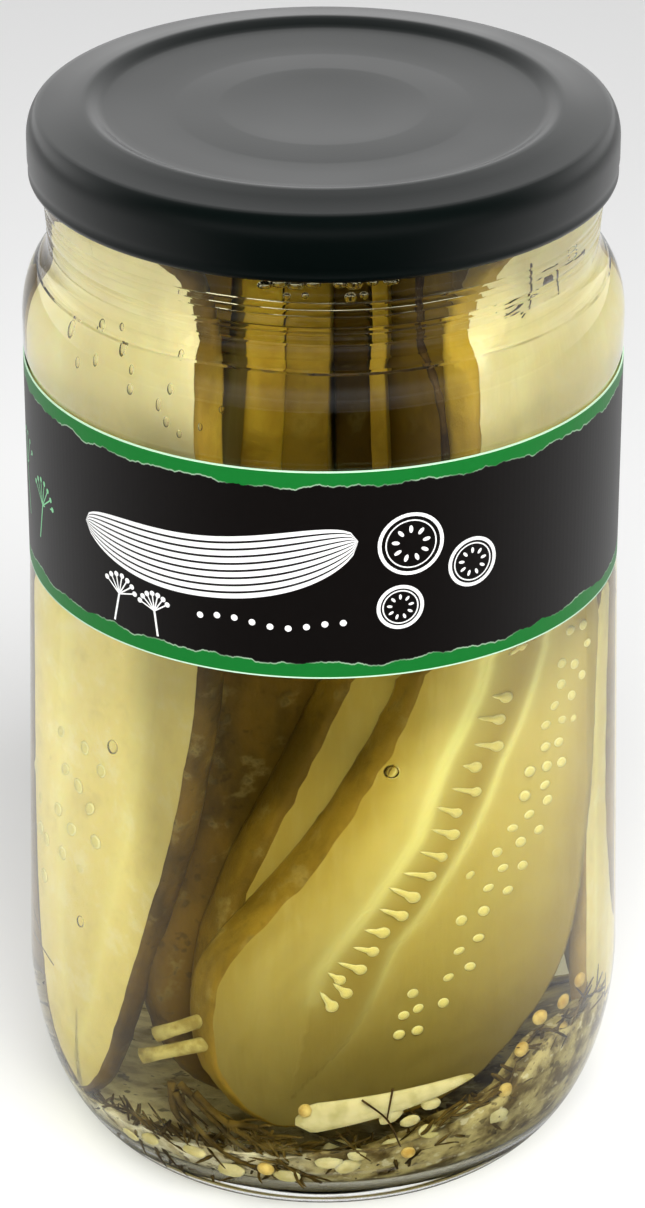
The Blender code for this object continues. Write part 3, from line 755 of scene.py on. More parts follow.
def at_share(points, shares, share):
    for k in range(len(shares) - 1):
        if share <= shares[k + 1]:
            return points[k].lerp(points[k + 1], (share - shares[k]) / (shares[k + 1] - shares[k]))
    return points[-1]


def distance_to(line, u, z):
    """Distance to a line of (u, z) points, and whether the point lies to its right."""
    best, side = 1e9, 0.0
    for (u0, z0), (u1, z1) in zip(line, line[1:]):
        du, dz = u1 - u0, z1 - z0
        share = max(0.0, min(1.0, ((u - u0) * du + (z - z0) * dz) / (du * du + dz * dz)))
        gap = math.hypot(u - u0 - du * share, z - z0 - dz * share)
        if gap < best:
            best, side = gap, (u - u0) * dz - (z - z0) * du
    return best, side


def bell(distance, width):
    return math.exp(-((distance / width) ** 2))


def front_pattern(u, z):
    """Glow of the seams, pulp between them and the seed field beside them, on the front slice."""
    left_gap, left_side = distance_to(LEFT_SEAM, u, z)
    right_gap, right_side = distance_to(RIGHT_SEAM, u, z)
    inside = left_side < 0 < right_side
    outer_glow = 0.9 * bell(left_gap, 1.0) + 0.45 * bell(left_gap, 3.2)
    inner_glow = 0.75 * bell(right_gap, 0.55) + 0.35 * bell(right_gap, 1.6)
    fade = ramp(z, 24.0, 46.0)
    pulp = 1.0 if inside else 0.0
    field = bell(distance_to(((25.5, 90), (21.5, 72), (15.5, 57), (8.0, 42), (1.5, 31)), u, z)[0], 4.2)
    return min(1.0, max(outer_glow, inner_glow)) * (0.5 + 0.5 * fade), pulp, field * 0.8


def plain_pattern(share, strength):
    """The same for a slice whose seeds hardly show: share is 0 at the outline and 1 at the middle."""
    return strength * bell(share - 0.55, 0.1), 0.5 * strength * (1.0 if share > 0.55 else 0.0), 0.0


SLICE_VALUES = ("skin", "edge", "glow", "pulp", "field", "tone", "shade", "pale")


def slice_shape(spec, around, rings):
    """A slab cut along a cucumber, with what its material needs at each vertex."""
    outward, sideways = plane_axes(spec["turn"])
    left, right, shares = slice_sides(spec, around // 2)
    outline = list(zip(right + left[-2:0:-1], shares + shares[-2:0:-1]))
    middles = [(a + b) / 2 for a, b in zip(left, right)]
    spine = {share: at_share(middles, shares, 0.12 + 0.76 * share) for share in shares}
    spots, values = [], {key: [] for key in SLICE_VALUES}

    def add(u, z, depth, skin, edge, pattern=(0.0, 0.0, 0.0)):
        place = outward * (spec["out"] - depth) + sideways * u
        place += outward * noise.noise(Vector((u * 0.09, z * 0.06, spec["turn"]))) * SLICE_WAVE
        most = inside_radius(z) - 0.25
        reach = math.hypot(place.x, place.y)
        if reach > most:
            place *= most / reach
        spots.append((place.x, place.y, z))
        # Painted shade: how much darker the flesh is painted, for the whole slice and for its right part
        dim = spec.get("shade", 0.0)
        if "grey_right" in spec:
            start, reach, foot, head, amount = spec["grey_right"]
            upright = ramp(z, foot, foot + 36) * ramp(z, head, head - 8)
            dim += amount * ramp(u, start, start + reach) * upright
        low, high = spec.get("faded", (200, 230))
        tone = spec["tone"] * (1.0 - 0.8 * ramp(z, low, low + 8) * ramp(z, high, high - 14))
        kinds = (skin, edge, *pattern, tone, dim, spec.get("pale", 0.0))
        for key, value in zip(values, kinds):
            values[key].append(value)

    normals = []
    for i in range(around):
        before, after = outline[i - 1][0], outline[(i + 1) % around][0]
        tangent = (after - before).normalized()
        normals.append(Vector((tangent.y, -tangent.x)))
    centre = sum((p for p, _ in outline), Vector((0.0, 0.0))) / around
    if normals[0].dot(outline[0][0] - centre) < 0:
        normals = [-n for n in normals]

    thick = spec["thick"]

    def bevel_at(point, bevel):
        wavy = 1.0 + 0.45 * noise.noise(Vector((point.x * 0.3, point.y * 0.3, spec["out"])))
        if spec.get("narrow_foot"):
            wavy *= 0.6 + 0.4 * ramp(point.y, 36, 58)
        return bevel * wavy

    def rind(normal):
        return 1.0 + (spec.get("skin_right", 1.0) - 1.0) * ramp(0.2 + normal.x * 1.4, 0.0, 1.0)

    def face_loops(depth, bevel, skinned, relief):
        gathered = []
        for k in range(rings, -1, -1):
            share = (k / rings) ** 1.25
            start = len(spots)
            for (point, along), normal in zip(outline, normals):
                edge_point = point - normal * bevel_at(point, bevel)
                spot = edge_point.lerp(spine[along], share)
                gap = (spot - edge_point).length
                if spec.get("fine") and depth == 0:
                    pattern = front_pattern(spot.x, spot.y)
                else:
                    pattern = plain_pattern(share, 0.35)
                bumpy = relief * noise.noise(Vector((spot.x * 0.35, spot.y * 0.35, 4.0)))
                skin = 1.0 if skinned else rind(normal) if k == 0 else 0.0
                add(spot.x, spot.y, depth + bumpy * min(1.0, gap), skin, min(1.0, gap / 10), pattern)
            gathered.append(list(range(start, start + around)))
        return gathered

    front = face_loops(0.0, spec["bevels"][0], spec.get("skinned", False), FACE_RELIEF)
    rim = []
    for k in range(1, 8):
        angle = math.radians(-90 + 180 * k / 8)
        bevel = spec["bevels"][0] if angle < 0 else spec["bevels"][1]
        depth = thick / 2 * (1 + math.copysign(abs(math.sin(angle)) ** 0.85, angle))
        start = len(spots)
        for (point, _), normal in zip(outline, normals):
            wart = WART_HEIGHT * max(0.0, noise.noise(Vector((point.x * 0.5, point.y * 0.5, depth * 0.5))))
            spot = point - normal * (bevel_at(point, bevel) * (1 - math.cos(angle)) - wart)
            add(spot.x, spot.y, depth, rind(normal), 0.0)
        rim.append(list(range(start, start + around)))
    back = face_loops(thick, spec["bevels"][1], False, 0.0)[::-1]
    faces = bridged(front + rim + back)
    for loop in (front[0], back[-1]):
        half = around // 2
        for i in range(half):
            across = (around - i - 1) % around, (around - i) % around
            corners = list(dict.fromkeys(loop[k] for k in (i, i + 1, *across)))
            if len(corners) > 2:
                faces.append(corners)
    return (spots, faces), values


def seed_at(spec, head, tail, width, length_more, proud, oval=False):
    """A flat seed in the slice's cut face, oval or like a pin, and where it is inside its rim."""
    outward, sideways = plane_axes(spec["turn"])
    head, tail = Vector(head), Vector(tail)
    along = (head - tail).normalized()
    across = Vector((along.y, -along.x))
    length = (head - tail).length + length_more
    start = tail - along * 0.2
    count = 26
    outline = []
    for i in range(count):
        angle = math.tau * i / count
        share = 0.5 + 0.5 * math.cos(angle)
        half = width / 2 * abs(math.sin(angle))
        if not oval:
            off = (share * length - length + width * 0.55) / (width * 0.55)
            head_half = width / 2 * math.sqrt(max(0.0, 1.0 - off * off))
            tail_half = width * (0.1 + 0.3 * share) * min(1.0, share * 6)
            half = max(head_half, tail_half if off < 0 else 0.0)
        outline.append(start + along * length * share + across * math.copysign(half, math.sin(angle)))
    middle = start + along * length * (0.5 if oval else 0.7)
    verts, within = [], []
    for scale, lift, depth in ((1.0, -0.5, 0.0), (0.86, 0.4, 0.0), (0.6, 0.75, 1.0), (0.3, 1.0, 1.0)):
        for point in outline:
            spot = middle.lerp(point, scale)
            place = outward * (spec["out"] + proud * lift) + sideways * spot.x
            verts.append(tuple(place + Vector((0, 0, spot.y))))
            within.append(depth)
    return (verts, capped(count, 4)), within


def bank_height(turn):
    """The height of the spices against the wall at this azimuth."""
    for (a, low), (b, high) in zip(BANK_HEIGHTS, BANK_HEIGHTS[1:]):
        if a <= turn <= b:
            return low + (high - low) * (0.5 - 0.5 * math.cos(math.pi * (turn - a) / (b - a)))
    return BED_CENTRE_Z


def banked(draw, count, least, sink, inset):
    """Random places in the bank, as (azimuth, distance from the axis, height)."""
    places = []
    for _ in range(count):
        turn = draw.uniform(-175, 175)
        z = max(least, bank_height(turn) - draw.uniform(*sink))
        places.append((turn, inside_radius(z) - draw.uniform(*inset), z))
    return places


def garlic_strip_shape(count=26, sides=10):
    """The long strip of garlic against the glass: broad at its left end, thin at its right end."""
    verts = []
    for i in range(count):
        share = i / (count - 1)
        place = place_of(-5.6 + 37.0 * share, 41.4, 20.8 + 4.4 * share ** 0.8)
        half = 2.7 * min(1.0, (share + 0.02) * 9) * (1 - share) ** 0.55 + 0.12
        outward = Vector((place.x, place.y, 0.0)).normalized()
        for k in range(sides):
            angle = math.tau * k / sides
            up = Vector((0, 0, half * math.sin(angle)))
            verts.append(tuple(place + outward * 0.75 * math.cos(angle) + up))
    return verts, capped(sides, count)


def pickle_look():
    """Wet cucumber flesh with seams, pulp, skin and painted shade, by the values stored at the vertices."""
    look = Look("pickle")
    skin, edge, glow, pulp, field, tone, shade, pale = (look.attribute(key) for key in SLICE_VALUES)
    fibres = look.noise(420.0, 3.0, stretch=(1.0, 1.0, 0.22))
    clouds = look.noise(75.0, 3.0)
    flesh = tuple(settings().flesh)
    curds = look.noise(150.0, 5.0, 0.65)
    z = look.axis(2)
    olive = look.coats(
        look.mix(edge.between(0.0, 0.75), srgb(184, 158, 62), flesh),
        (clouds.between(0.35, 0.7) * 0.45, (196, 172, 80)),
        (fibres.between(0.4, 0.7) * 0.22, (232, 214, 134)),
        (pale, (250, 232, 146)),
        (curds.between(0.5, 0.72) * pale * 0.6, (255, 248, 206)),
        ((1.0 - curds.between(0.3, 0.5)) * pale * 0.45, (206, 188, 116)),
        ((pulp * 0.7).clamped(), (172, 146, 58)),
        ((field * 0.6).clamped(), (226, 208, 110)),
        ((glow * 0.95).clamped(), (255, 246, 160)),
        # Painted shade: slices deep in the jar and their dim right parts are painted darker
        ((shade * 0.8).clamped(), (148, 130, 62)),
        # Painted shade: the flesh is painted darker towards the foot of the jar, where less light reaches, and
        # partly for the cloudier brine there; pale slices are left out
        ((1.0 - z.between(0.018, 0.085)) * (1.0 - pale) * 0.9, (134, 116, 54)),
        ((1.0 - z.between(0.012, 0.042)) * (1.0 - pale) * 0.7, (98, 88, 44)),
        (z.between(0.122, 0.138) * pale * 0.6, (248, 236, 190)),
    )
    warts = look.noise(260.0, 4.0)
    blotches = look.noise(110.0, 4.0, stretch=(1.0, 1.0, 0.5))
    # Partly painted light: the yellow-olive skin that low tones give to some middle slices stands in for light
    # coming through the slices round them
    light_skin = look.mix(blotches.between(0.4, 0.65), srgb(226, 188, 62), srgb(190, 152, 40))
    dark_skin = look.coats(
        tuple(settings().skin),
        (blotches.between(0.35, 0.7), (74, 57, 18)),
        (warts.between(0.56, 0.7) * 0.6, (138, 122, 70)),
        (look.noise(520.0, 3.0).between(0.55, 0.7) * 0.55, (58, 44, 14)),
    )
    rind = look.mix(tone, light_skin, dark_skin)
    ragged = (skin + (warts - 0.5) * 0.5).between(0.42, 0.55)
    colour = look.mix(ragged, olive, rind)
    height = warts * ragged * 1.5 + fibres * 0.5 + glow * 0.4 - pulp * 0.3
    shader = look.principled(
        Base_Color=colour, Roughness=0.45, Specular_IOR_Level=0.12, Subsurface_Weight=0.45,
        Subsurface_Radius=(1.0, 0.7, 0.25), Subsurface_Scale=1.4 * MM, Normal=look.bump(height, 0.6, 0.4),
    )
    return look.surface(shader)


def speckled_look(name, light, dark, scale, subsurface, bump=0.2):
    """A small thing in the brine: two colours mixed by fine noise."""
    look = Look(name)
    grain = look.noise(scale, 4.0)
    patches = look.noise(scale * 0.25, 2.0)
    colour = look.mix((grain * 0.6 + patches * 0.5).between(0.4, 0.72), light, dark)
    return look.wet(colour, subsurface, look.bump(grain, 0.4, bump))


def glass_look(name, shine, streaked=False, tint=(0.985, 0.995, 0.985)):
    """Clear glass with a faint ripple and, outside, fine streaks around the neck."""
    look = Look(name)
    relief = look.noise(45.0, 1.0, stretch=(1.0, 1.0, 0.5)) * 0.03
    if streaked:
        z = look.axis(2, look.place((1.0 / MM,) * 3))
        wavy = z + (look.noise(24.0, 1.0, stretch=(1.0, 1.0, 0.2)) - 0.5) * 1.2
        patchy = look.noise(50.0, 3.0).between(0.3, 0.55)
        for height, width, depth in NECK_LINES:
            relief = relief - (1.0 - abs(wavy - height) / width).clamped() * patchy * (depth * 1.3)
        streaks = look.noise(60.0, 2.0, stretch=(1.0, 1.0, 9.0)) * z.between(146.0, 148.5)
        relief = relief + streaks * 0.07
    shader = look.principled(
        Base_Color=tint, Roughness=0.0, IOR=1.5, Transmission_Weight=1.0,
        Specular_IOR_Level=shine, Normal=look.bump(relief, 1.0, 1.0),
    )
    return look.surface(look.clear(shader, (0.95, 0.96, 0.95)))


def brine_look():
    """Clear brine that tints what is deep in it."""
    look = Look("brine")
    shader = look.principled(
        Base_Color=(1.0, 1.0, 1.0), Roughness=0.0, IOR=1.345, Transmission_Weight=1.0,
        Specular_IOR_Level=0.05,
    )
    surface = look.clear(shader, (0.97, 0.97, 0.97))
    sockets = {"Color": (0.96, 0.88, 0.4, 1.0), "Density": settings().brine_density}
    tint = look.node("ShaderNodeVolumeAbsorption", {}, sockets)
    look.node("ShaderNodeOutputMaterial", {}, {"Surface": surface, "Volume": tint})
    return look


def lid_look():
    """Near-black lacquer with a fine grain."""
    look = Look("lid_lacquer")
    grain = look.noise(2600.0, 2.0)
    haze = look.noise(30.0, 2.0)
    shader = look.principled(
        Base_Color=tuple(settings().lacquer), Roughness=haze.between(0.2, 0.8) * 0.06 + 0.3,
        Specular_IOR_Level=0.45, Normal=look.bump(grain, 0.15, 0.03),
    )
    return look.surface(shader)


def label_look():
    """Near-black coated paper with green edges that end in a torn line."""
    look = Look("label_paper")
    around = look.attribute("around")
    height = look.attribute("height")

    def torn_width(offset):
        place = look.node("ShaderNodeCombineXYZ", {}, {0: around, 1: offset})
        slow = look.node("ShaderNodeTexNoise", {}, {"Vector": place, "Scale": 0.16, "Detail": 2.0})
        fast = look.node("ShaderNodeTexNoise", {}, {"Vector": place, "Scale": 1.1, "Detail": 3.0})
        return 2.35 + (slow - 0.5) * 3.0 + (fast - 0.5) * 0.8

    from_top = (LABEL_TOP_Z - LABEL_FOOT_Z) - height
    top_gap = torn_width(3.0) - from_top
    foot_gap = torn_width(40.0) - height
    gap = top_gap.larger(foot_gap)
    fibre = look.noise(900.0, 3.0)
    paper = look.mix(fibre * 0.35, tuple(settings().paper), srgb(22, 18, 16))
    green = look.mix(fibre * 0.4, tuple(settings().green), srgb(10, 122, 48))
    colour = look.mix(gap > 0.0, paper, green)
    torn = (1.0 - abs(gap) / 0.16).clamped() * look.noise(140.0, 2.0).between(0.35, 0.6)
    colour = look.mix(torn * 0.8, colour, srgb(170, 200, 170))
    colour = look.mix(from_top.smaller(height) < 0.22, colour, srgb(190, 225, 195))
    shader = look.principled(
        Base_Color=colour, Roughness=0.42, Specular_IOR_Level=0.22, Normal=look.bump(fibre, 0.15, 0.03)
    )
    return look.surface(shader)


def print_look(name, colour, worn):
    """Ink with a faint grain of a second colour."""
    look = Look(name)
    grain = look.noise(700.0, 3.0)
    colour = look.mix(grain * 0.3, colour, worn)
    return look.surface(look.principled(Base_Color=colour, Roughness=0.42, Specular_IOR_Level=0.35))


LABEL_INNER = LABEL_PANEL_RADIUS + 0.14
LABEL_OUTER = LABEL_PANEL_RADIUS + 0.34


def label_shape():
    """The paper band: an open strip whose ends overlap at the back."""
    verts, faces, around, height = [], [], [], []
    count, rows, overlap = 288, 12, 0.02
    for i in range(count + 1):
        angle = -math.pi - overlap + (math.tau + 2 * overlap) * i / count
        # The last fortieth rises over the band's own start
        lift = 0.16 * max(0.0, i / count * 40 - 39)
        outward = Vector((math.sin(angle), -math.cos(angle), 0.0))
        for radius in (LABEL_INNER + lift, LABEL_OUTER + lift):
            for k in range(rows + 1):
                z = LABEL_FOOT_Z + (LABEL_TOP_Z - LABEL_FOOT_Z) * k / rows
                verts.append(tuple(outward * radius + Vector((0, 0, z))))
                around.append(angle * LABEL_OUTER)
                height.append(z - LABEL_FOOT_Z)
    stride = 2 * (rows + 1)
    loop = list(range(rows + 1)) + list(range(2 * rows + 1, rows, -1))
    for i in range(count):
        for a, b in zip(loop, loop[1:] + loop[:1]):
            faces.append([row * stride + k for row, k in ((i, a), (i, b), (i + 1, b), (i + 1, a))])
    for k in range(rows):
        for start in (0, count * stride):
            faces.append([start + k, start + k + 1, start + rows + 2 + k, start + rows + 1 + k])
    return (verts, faces), {"around": around, "height": height}


def on_label(along, up):
    """A point of the print, along the band from its front and up from its foot."""
    return place_of(math.degrees(along / LABEL_OUTER), LABEL_OUTER + 0.03, LABEL_FOOT_Z + up)


def tilted(along, up, x, y, tilt):
    """The point at (x, y) from (along, up), turned about it."""
    return along + x * math.cos(tilt) - y * math.sin(tilt), up + x * math.sin(tilt) + y * math.cos(tilt)


def ellipse(along, up, radius, count, squash=1.0, tilt=0.0):
    """Points round an ellipse of the print, with the first one again at the end."""
    points = []
    for i in range(count + 1):
        angle = math.tau * i / count
        x, y = radius * math.cos(angle), radius * squash * math.sin(angle)
        points.append(tilted(along, up, x, y, tilt))
    return points


def ribbon(points, width):
    """A line of the print, as a thin strip on the band."""
    verts = []
    for i, (along, up) in enumerate(points):
        before, after = points[max(i - 1, 0)], points[min(i + 1, len(points) - 1)]
        tangent = Vector((after[0] - before[0], after[1] - before[1])).normalized()
        for side in (-0.5, 0.5):
            verts.append(tuple(on_label(along - tangent.y * side * width, up + tangent.x * side * width)))
    return verts, sheet_faces(2, len(points))


def disc(along, up, radius, squash=1.0, tilt=0.0, count=14):
    """A filled spot of the print."""
    rim = ellipse(along, up, radius, count, squash, tilt)[:-1]
    verts = [tuple(on_label(*point)) for point in [(along, up), *rim]]
    return verts, [[0, 1 + i, 1 + (i + 1) % count] for i in range(count)]


def round_slice_print(along, up, radius):
    """A round cucumber slice drawn in line."""
    shapes = [ribbon(ellipse(along, up, radius, 40), 0.55)]
    shapes.append(ribbon(ellipse(along, up, radius * 0.8, 40), 0.2))
    for i in range(9):
        angle = math.tau * i / 9 + 0.2
        shapes.append(disc(
            along + radius * 0.5 * math.cos(angle), up + radius * 0.5 * math.sin(angle),
            radius * 0.13, 0.5, angle, 10,
        ))
    return shapes


def whole_cucumber_print(along, up, length, width, tilt):
    """A whole cucumber as a white shape, with dark dashes left open along it."""
    shapes = []
    lanes = 9
    count = 48
    for lane in range(lanes):
        low, high = -1 + 2 * lane / lanes + 0.035, -1 + 2 * (lane + 1) / lanes - 0.035
        points = ([], [])
        for i in range(count + 1):
            share = i / count
            x = (share - 0.5) * length
            reach = width / 2 * math.sqrt(max(0.0, 1 - abs(2 * share - 1) ** 3.2)) * (0.9 + 0.1 * share)
            bow = -3.2 * (1 - (2 * share - 1) ** 2)
            for side, edge in zip(points, (low, high)):
                side.append(tilted(along, up, x, bow + reach * edge, tilt))
        verts = [tuple(on_label(*p)) for p in points[0] + points[1]]
        shapes.append((verts, sheet_faces(count + 1, 2)))
    return shapes


def umbel_print(along, up, size, lean):
    """A dill umbel: rays that end in dots."""
    crown = (along + lean * size * 0.4, up + size * 0.9)
    shapes = [ribbon([(along, up), crown], 0.35)]
    for i in range(7):
        angle = math.pi / 2 - lean * 0.4 + (i - 3) * 0.36
        end = (crown[0] + size * 0.62 * math.cos(angle), crown[1] + size * 0.62 * math.sin(angle))
        shapes.append(ribbon([crown, end], 0.22))
        shapes.append(disc(end[0], end[1], 0.42))
    return shapes


class JAR_OT_glass(bpy.types.Operator):
    """Turn the clear glass jar"""

    bl_idname = "pickle_jar.glass"
    bl_label = "Glass"

    def execute(self, context):
        rim = arc((MOUTH_RADIUS + 0.9, RIM_Z - 0.9), (0.9, 0.9), 180, 90, 5)
        rim += arc((FINISH_RADIUS - 0.9, RIM_Z - 0.9), (0.9, 0.9), 90, 0, 5)
        inside = inside_to_mouth()
        shape = turned(inside + rim + outer_profile(), settings().steps)
        glass = glass_look("clear_glass", 0.5, True)
        jar = piece("clear_jar", shape, glass, replaces=("glass_jar",))
        jar.data.materials.append(glass_look("wetted_glass", 0.05).material)
        # Painted shade, partly the thick glass's tint: the base ring's glass is darker
        jar.data.materials.append(glass_look("tinted_and_shaded_foot_glass", 0.3, tint=(0.5, 0.46, 0.3)).material)
        wetted = (len(inside) - 1) * settings().steps
        for face in jar.data.polygons:
            x, y, z = face.center / MM
            foot = z < FOOT_GLASS_Z and math.hypot(x, y) > FOOT_GLASS_RADIUS
            face.material_index = 1 if face.index < wetted else 2 if foot else 0
        return {"FINISHED"}


class JAR_OT_brine(bpy.types.Operator):
    """Fill the jar with brine that reaches just into the glass"""

    bl_idname = "pickle_jar.brine"
    bl_label = "Brine"

    def execute(self, context):
        top = settings().brine_top / MM
        profile = inside_to_mouth(BRINE_OVERLAP) + [(MOUTH_RADIUS + BRINE_OVERLAP, top), (0.0, top)]
        piece("brine", turned(profile, settings().steps), brine_look())
        return {"FINISHED"}


class JAR_OT_lid(bpy.types.Operator):
    """Turn the pressed twist-off lid"""

    bl_idname = "pickle_jar.lid"
    bl_label = "Lid"

    def execute(self, context):
        panel_z = JAR_HEIGHT - PANEL_DROP
        outer_step, inner_step = STEP_RADII
        low_z, ridge_z = panel_z - STEP_DROPS[0], panel_z - STEP_DROPS[1]
        profile = [(inner_step * k / 6, ridge_z - 0.5 * (1 - (k / 6) ** 2)) for k in range(6)]
        profile += [
            (inner_step - 0.3, ridge_z - 0.04), (inner_step + 0.3, ridge_z - 0.02),
            (outer_step - 0.3, low_z + 0.03), (outer_step + 0.4, low_z + 0.02),
            (outer_step + 4.0, low_z + 0.16), (PANEL_RADIUS - 2.0, panel_z - 0.06),
            (PANEL_RADIUS - 0.6, panel_z), (PANEL_RADIUS, panel_z + 0.08), (PANEL_RADIUS + 0.5, panel_z + 0.35),
            (CREST_RADIUS - 1.0, JAR_HEIGHT - 0.25), (CREST_RADIUS - 0.4, JAR_HEIGHT - 0.04),
            (CREST_RADIUS, JAR_HEIGHT), (CREST_RADIUS + 0.6, JAR_HEIGHT - 0.06),
            (37.0, JAR_HEIGHT - 0.46), (40.6, JAR_HEIGHT - 1.1),
        ]
        profile += arc((40.9, 162.9), (1.9, 3.85), 77, 0, 12)
        profile += [(LID_RADIUS, 160.0), (LID_RADIUS - 0.1, 159.2)]
        profile += arc((LID_RADIUS - 0.95, LID_FOOT_Z + 0.85), (0.85, 0.85), 30, -180, 10)
        profile += [(LID_RADIUS - 0.7, 159.4), (LID_RADIUS - 0.65, 162.5), (LID_RADIUS - 1.6, 165.0)]
        profile += [(CREST_RADIUS + 0.4, 167.2), (PANEL_RADIUS + 0.3, 166.15), (0.0, 165.6)]
        shape = turned(profile, settings().steps)
        piece("twist_off_lid", shape, lid_look(), replaces=("lid",))
        return {"FINISHED"}


class JAR_OT_label(bpy.types.Operator):
    """Wrap the paper band with its print round the jar"""

    bl_idname = "pickle_jar.label"
    bl_label = "Paper band"

    def execute(self, context):
        shape, values = label_shape()
        look = label_look()
        band = piece("paper_band", shape, look, replaces=("label",), attributes=values)
        band.data.shade_flat()
        shapes = whole_cucumber_print(-17.0, 19.5, 44.0, 10.5, 0.1)
        for along, up, radius in ((12.5, 20.6, 4.6), (22.0, 16.0, 3.6), (11.0, 10.8, 3.2)):
            shapes += round_slice_print(along, up, radius)
        shapes += umbel_print(-33.0, 3.4, 5.0, 0.5)
        shapes += umbel_print(-25.0, 3.2, 4.4, -0.3)
        for i in range(9):
            shapes.append(disc(-18.0 + 2.6 * i, 8.4 + 0.5 * math.sin(i), 0.5))
        white = print_look("white_ink", srgb(246, 246, 244), srgb(225, 225, 222))
        piece("band_print", joined(shapes), white, smooth=False)
        shapes = umbel_print(-60.0, 9.0, 8.5, -0.5) + umbel_print(-54.0, 8.0, 6.5, 0.6)
        pale = print_look("pale_green_ink", srgb(130, 205, 150), srgb(110, 185, 130))
        piece("band_side_print", joined(shapes), pale, smooth=False)
        return {"FINISHED"}


class JAR_OT_slices(bpy.types.Operator):
    """Stand the cucumber slices in the jar"""

    bl_idname = "pickle_jar.slices"
    bl_label = "Slices"

    def execute(self, context):
        look = pickle_look()
        for group, names in SLICE_GROUPS.items():
            shapes, values = [], {}
            for name in names:
                spec = SLICES[name]
                shape, more = slice_shape(spec, *(FINE_GRID if "fine" in spec else PLAIN_GRID))
                shapes.append(shape)
                for key, numbers in more.items():
                    values.setdefault(key, []).extend(numbers)
            piece(
                group, joined(shapes), look,
                replaces=("pickle_slices",), attributes=values, weld=True,
            )
        return {"FINISHED"}


class JAR_OT_seeds(bpy.types.Operator):
    """Set the seeds in the front slice"""

    bl_idname = "pickle_jar.seeds"
    bl_label = "Cucumber seeds"

    def execute(self, context):
        draw = random.Random(3)
        shapes, within = [], []

        def add(name, head, tail, *form):
            shape, depths = seed_at(SLICES[name], head, tail, *form)
            shapes.append(shape)
            within.extend(depths)

        for head, tail in COMB_SEEDS:
            add("front", head, tail, draw.uniform(1.7, 2.1), 1.4, 0.5)
        for u, z in LOOSE_SEEDS:
            angle = draw.uniform(-0.5, 0.9)
            spot, step = Vector((u, z)), Vector((math.cos(angle), math.sin(angle))) * 0.5
            add("front", spot + step, spot - step, draw.uniform(1.3, 1.9), 0.8, 0.35, True)
        for u, z in FAINT_SEEDS:
            spot, step = Vector((u, z)), Vector((math.cos(draw.uniform(0.8, 1.8)), 1.0)) * 0.6
            add("left", spot + step, spot - step, draw.uniform(1.6, 2.2), 1.2, 0.25, True)
        look = Look("cucumber_seed")
        grain = look.noise(900.0, 3.0)
        colour = look.coats(
            srgb(250, 238, 168),
            (grain.between(0.3, 0.7) * 0.5, (236, 220, 138)),
            (look.attribute("within").between(0.2, 0.9) * 0.6, (214, 194, 104)),
        )
        look.wet(colour, 0.4, look.bump(grain, 0.3, 0.1))
        piece("cucumber_seeds", joined(shapes), look, attributes={"within": within})
        return {"FINISHED"}


class JAR_OT_bed(bpy.types.Operator):
    """Lay the settled spices on the floor of the jar"""

    bl_idname = "pickle_jar.bed"
    bl_label = "Spice bed"

    def execute(self, context):
        sides, verts = 120, []
        turns = [-180 + 360 * i / sides for i in range(sides)]
        for radius in BED_RADII:
            for turn in turns:
                z = BED_CENTRE_Z + (bank_height(turn) - BED_CENTRE_Z) * ramp(radius, 28, 37) - 1.0
                spot = place_of(turn, radius, 0.0)
                z += 1.1 * noise.noise(Vector((spot.x * 0.16, spot.y * 0.16, 2.0)))
                z += 0.6 * noise.noise(Vector((spot.x * 0.5, spot.y * 0.5, 7.0)))
                verts.append(tuple(place_of(turn, min(radius, inside_radius(z) - BED_GAP), z)))
        rim = verts[-sides:]
        for share in (0.75, 0.5, 0.25, 0.0):
            for turn, spot in zip(turns, rim):
                z = FLOOR_Z + (spot[2] - FLOOR_Z) * share
                verts.append(tuple(place_of(turn, inside_radius(z) - BED_GAP, z)))
        faces = capped(sides, len(verts) // sides)
        look = Look("sediment")
        grain = look.noise(240.0, 4.0)
        flakes = look.noise(520.0, 2.0)
        # Painted light and shade: the sediment is paler and cloudier to the left and browner to the right,
        # partly its own colour and partly for more light falling on its left side
        cloudy = look.mix(grain.between(0.4, 0.7), srgb(250, 240, 200), srgb(176, 158, 104))
        brown = look.mix(grain.between(0.35, 0.65), srgb(190, 174, 112), srgb(96, 78, 34))
        colour = look.coats(
            look.mix(look.axis(0).between(-0.022, 0.004), cloudy, brown),
            (flakes.between(0.6, 0.68) * 0.7, (214, 204, 160)),
            ((1.0 - flakes.between(0.33, 0.4)) * 0.7, (66, 50, 18)),
        )
        look.wet(colour, 0.2, look.bump(grain, 0.4, 0.8))
        piece("spice_sediment", (verts, faces), look, replaces=("spice_bed",))
        return {"FINISHED"}


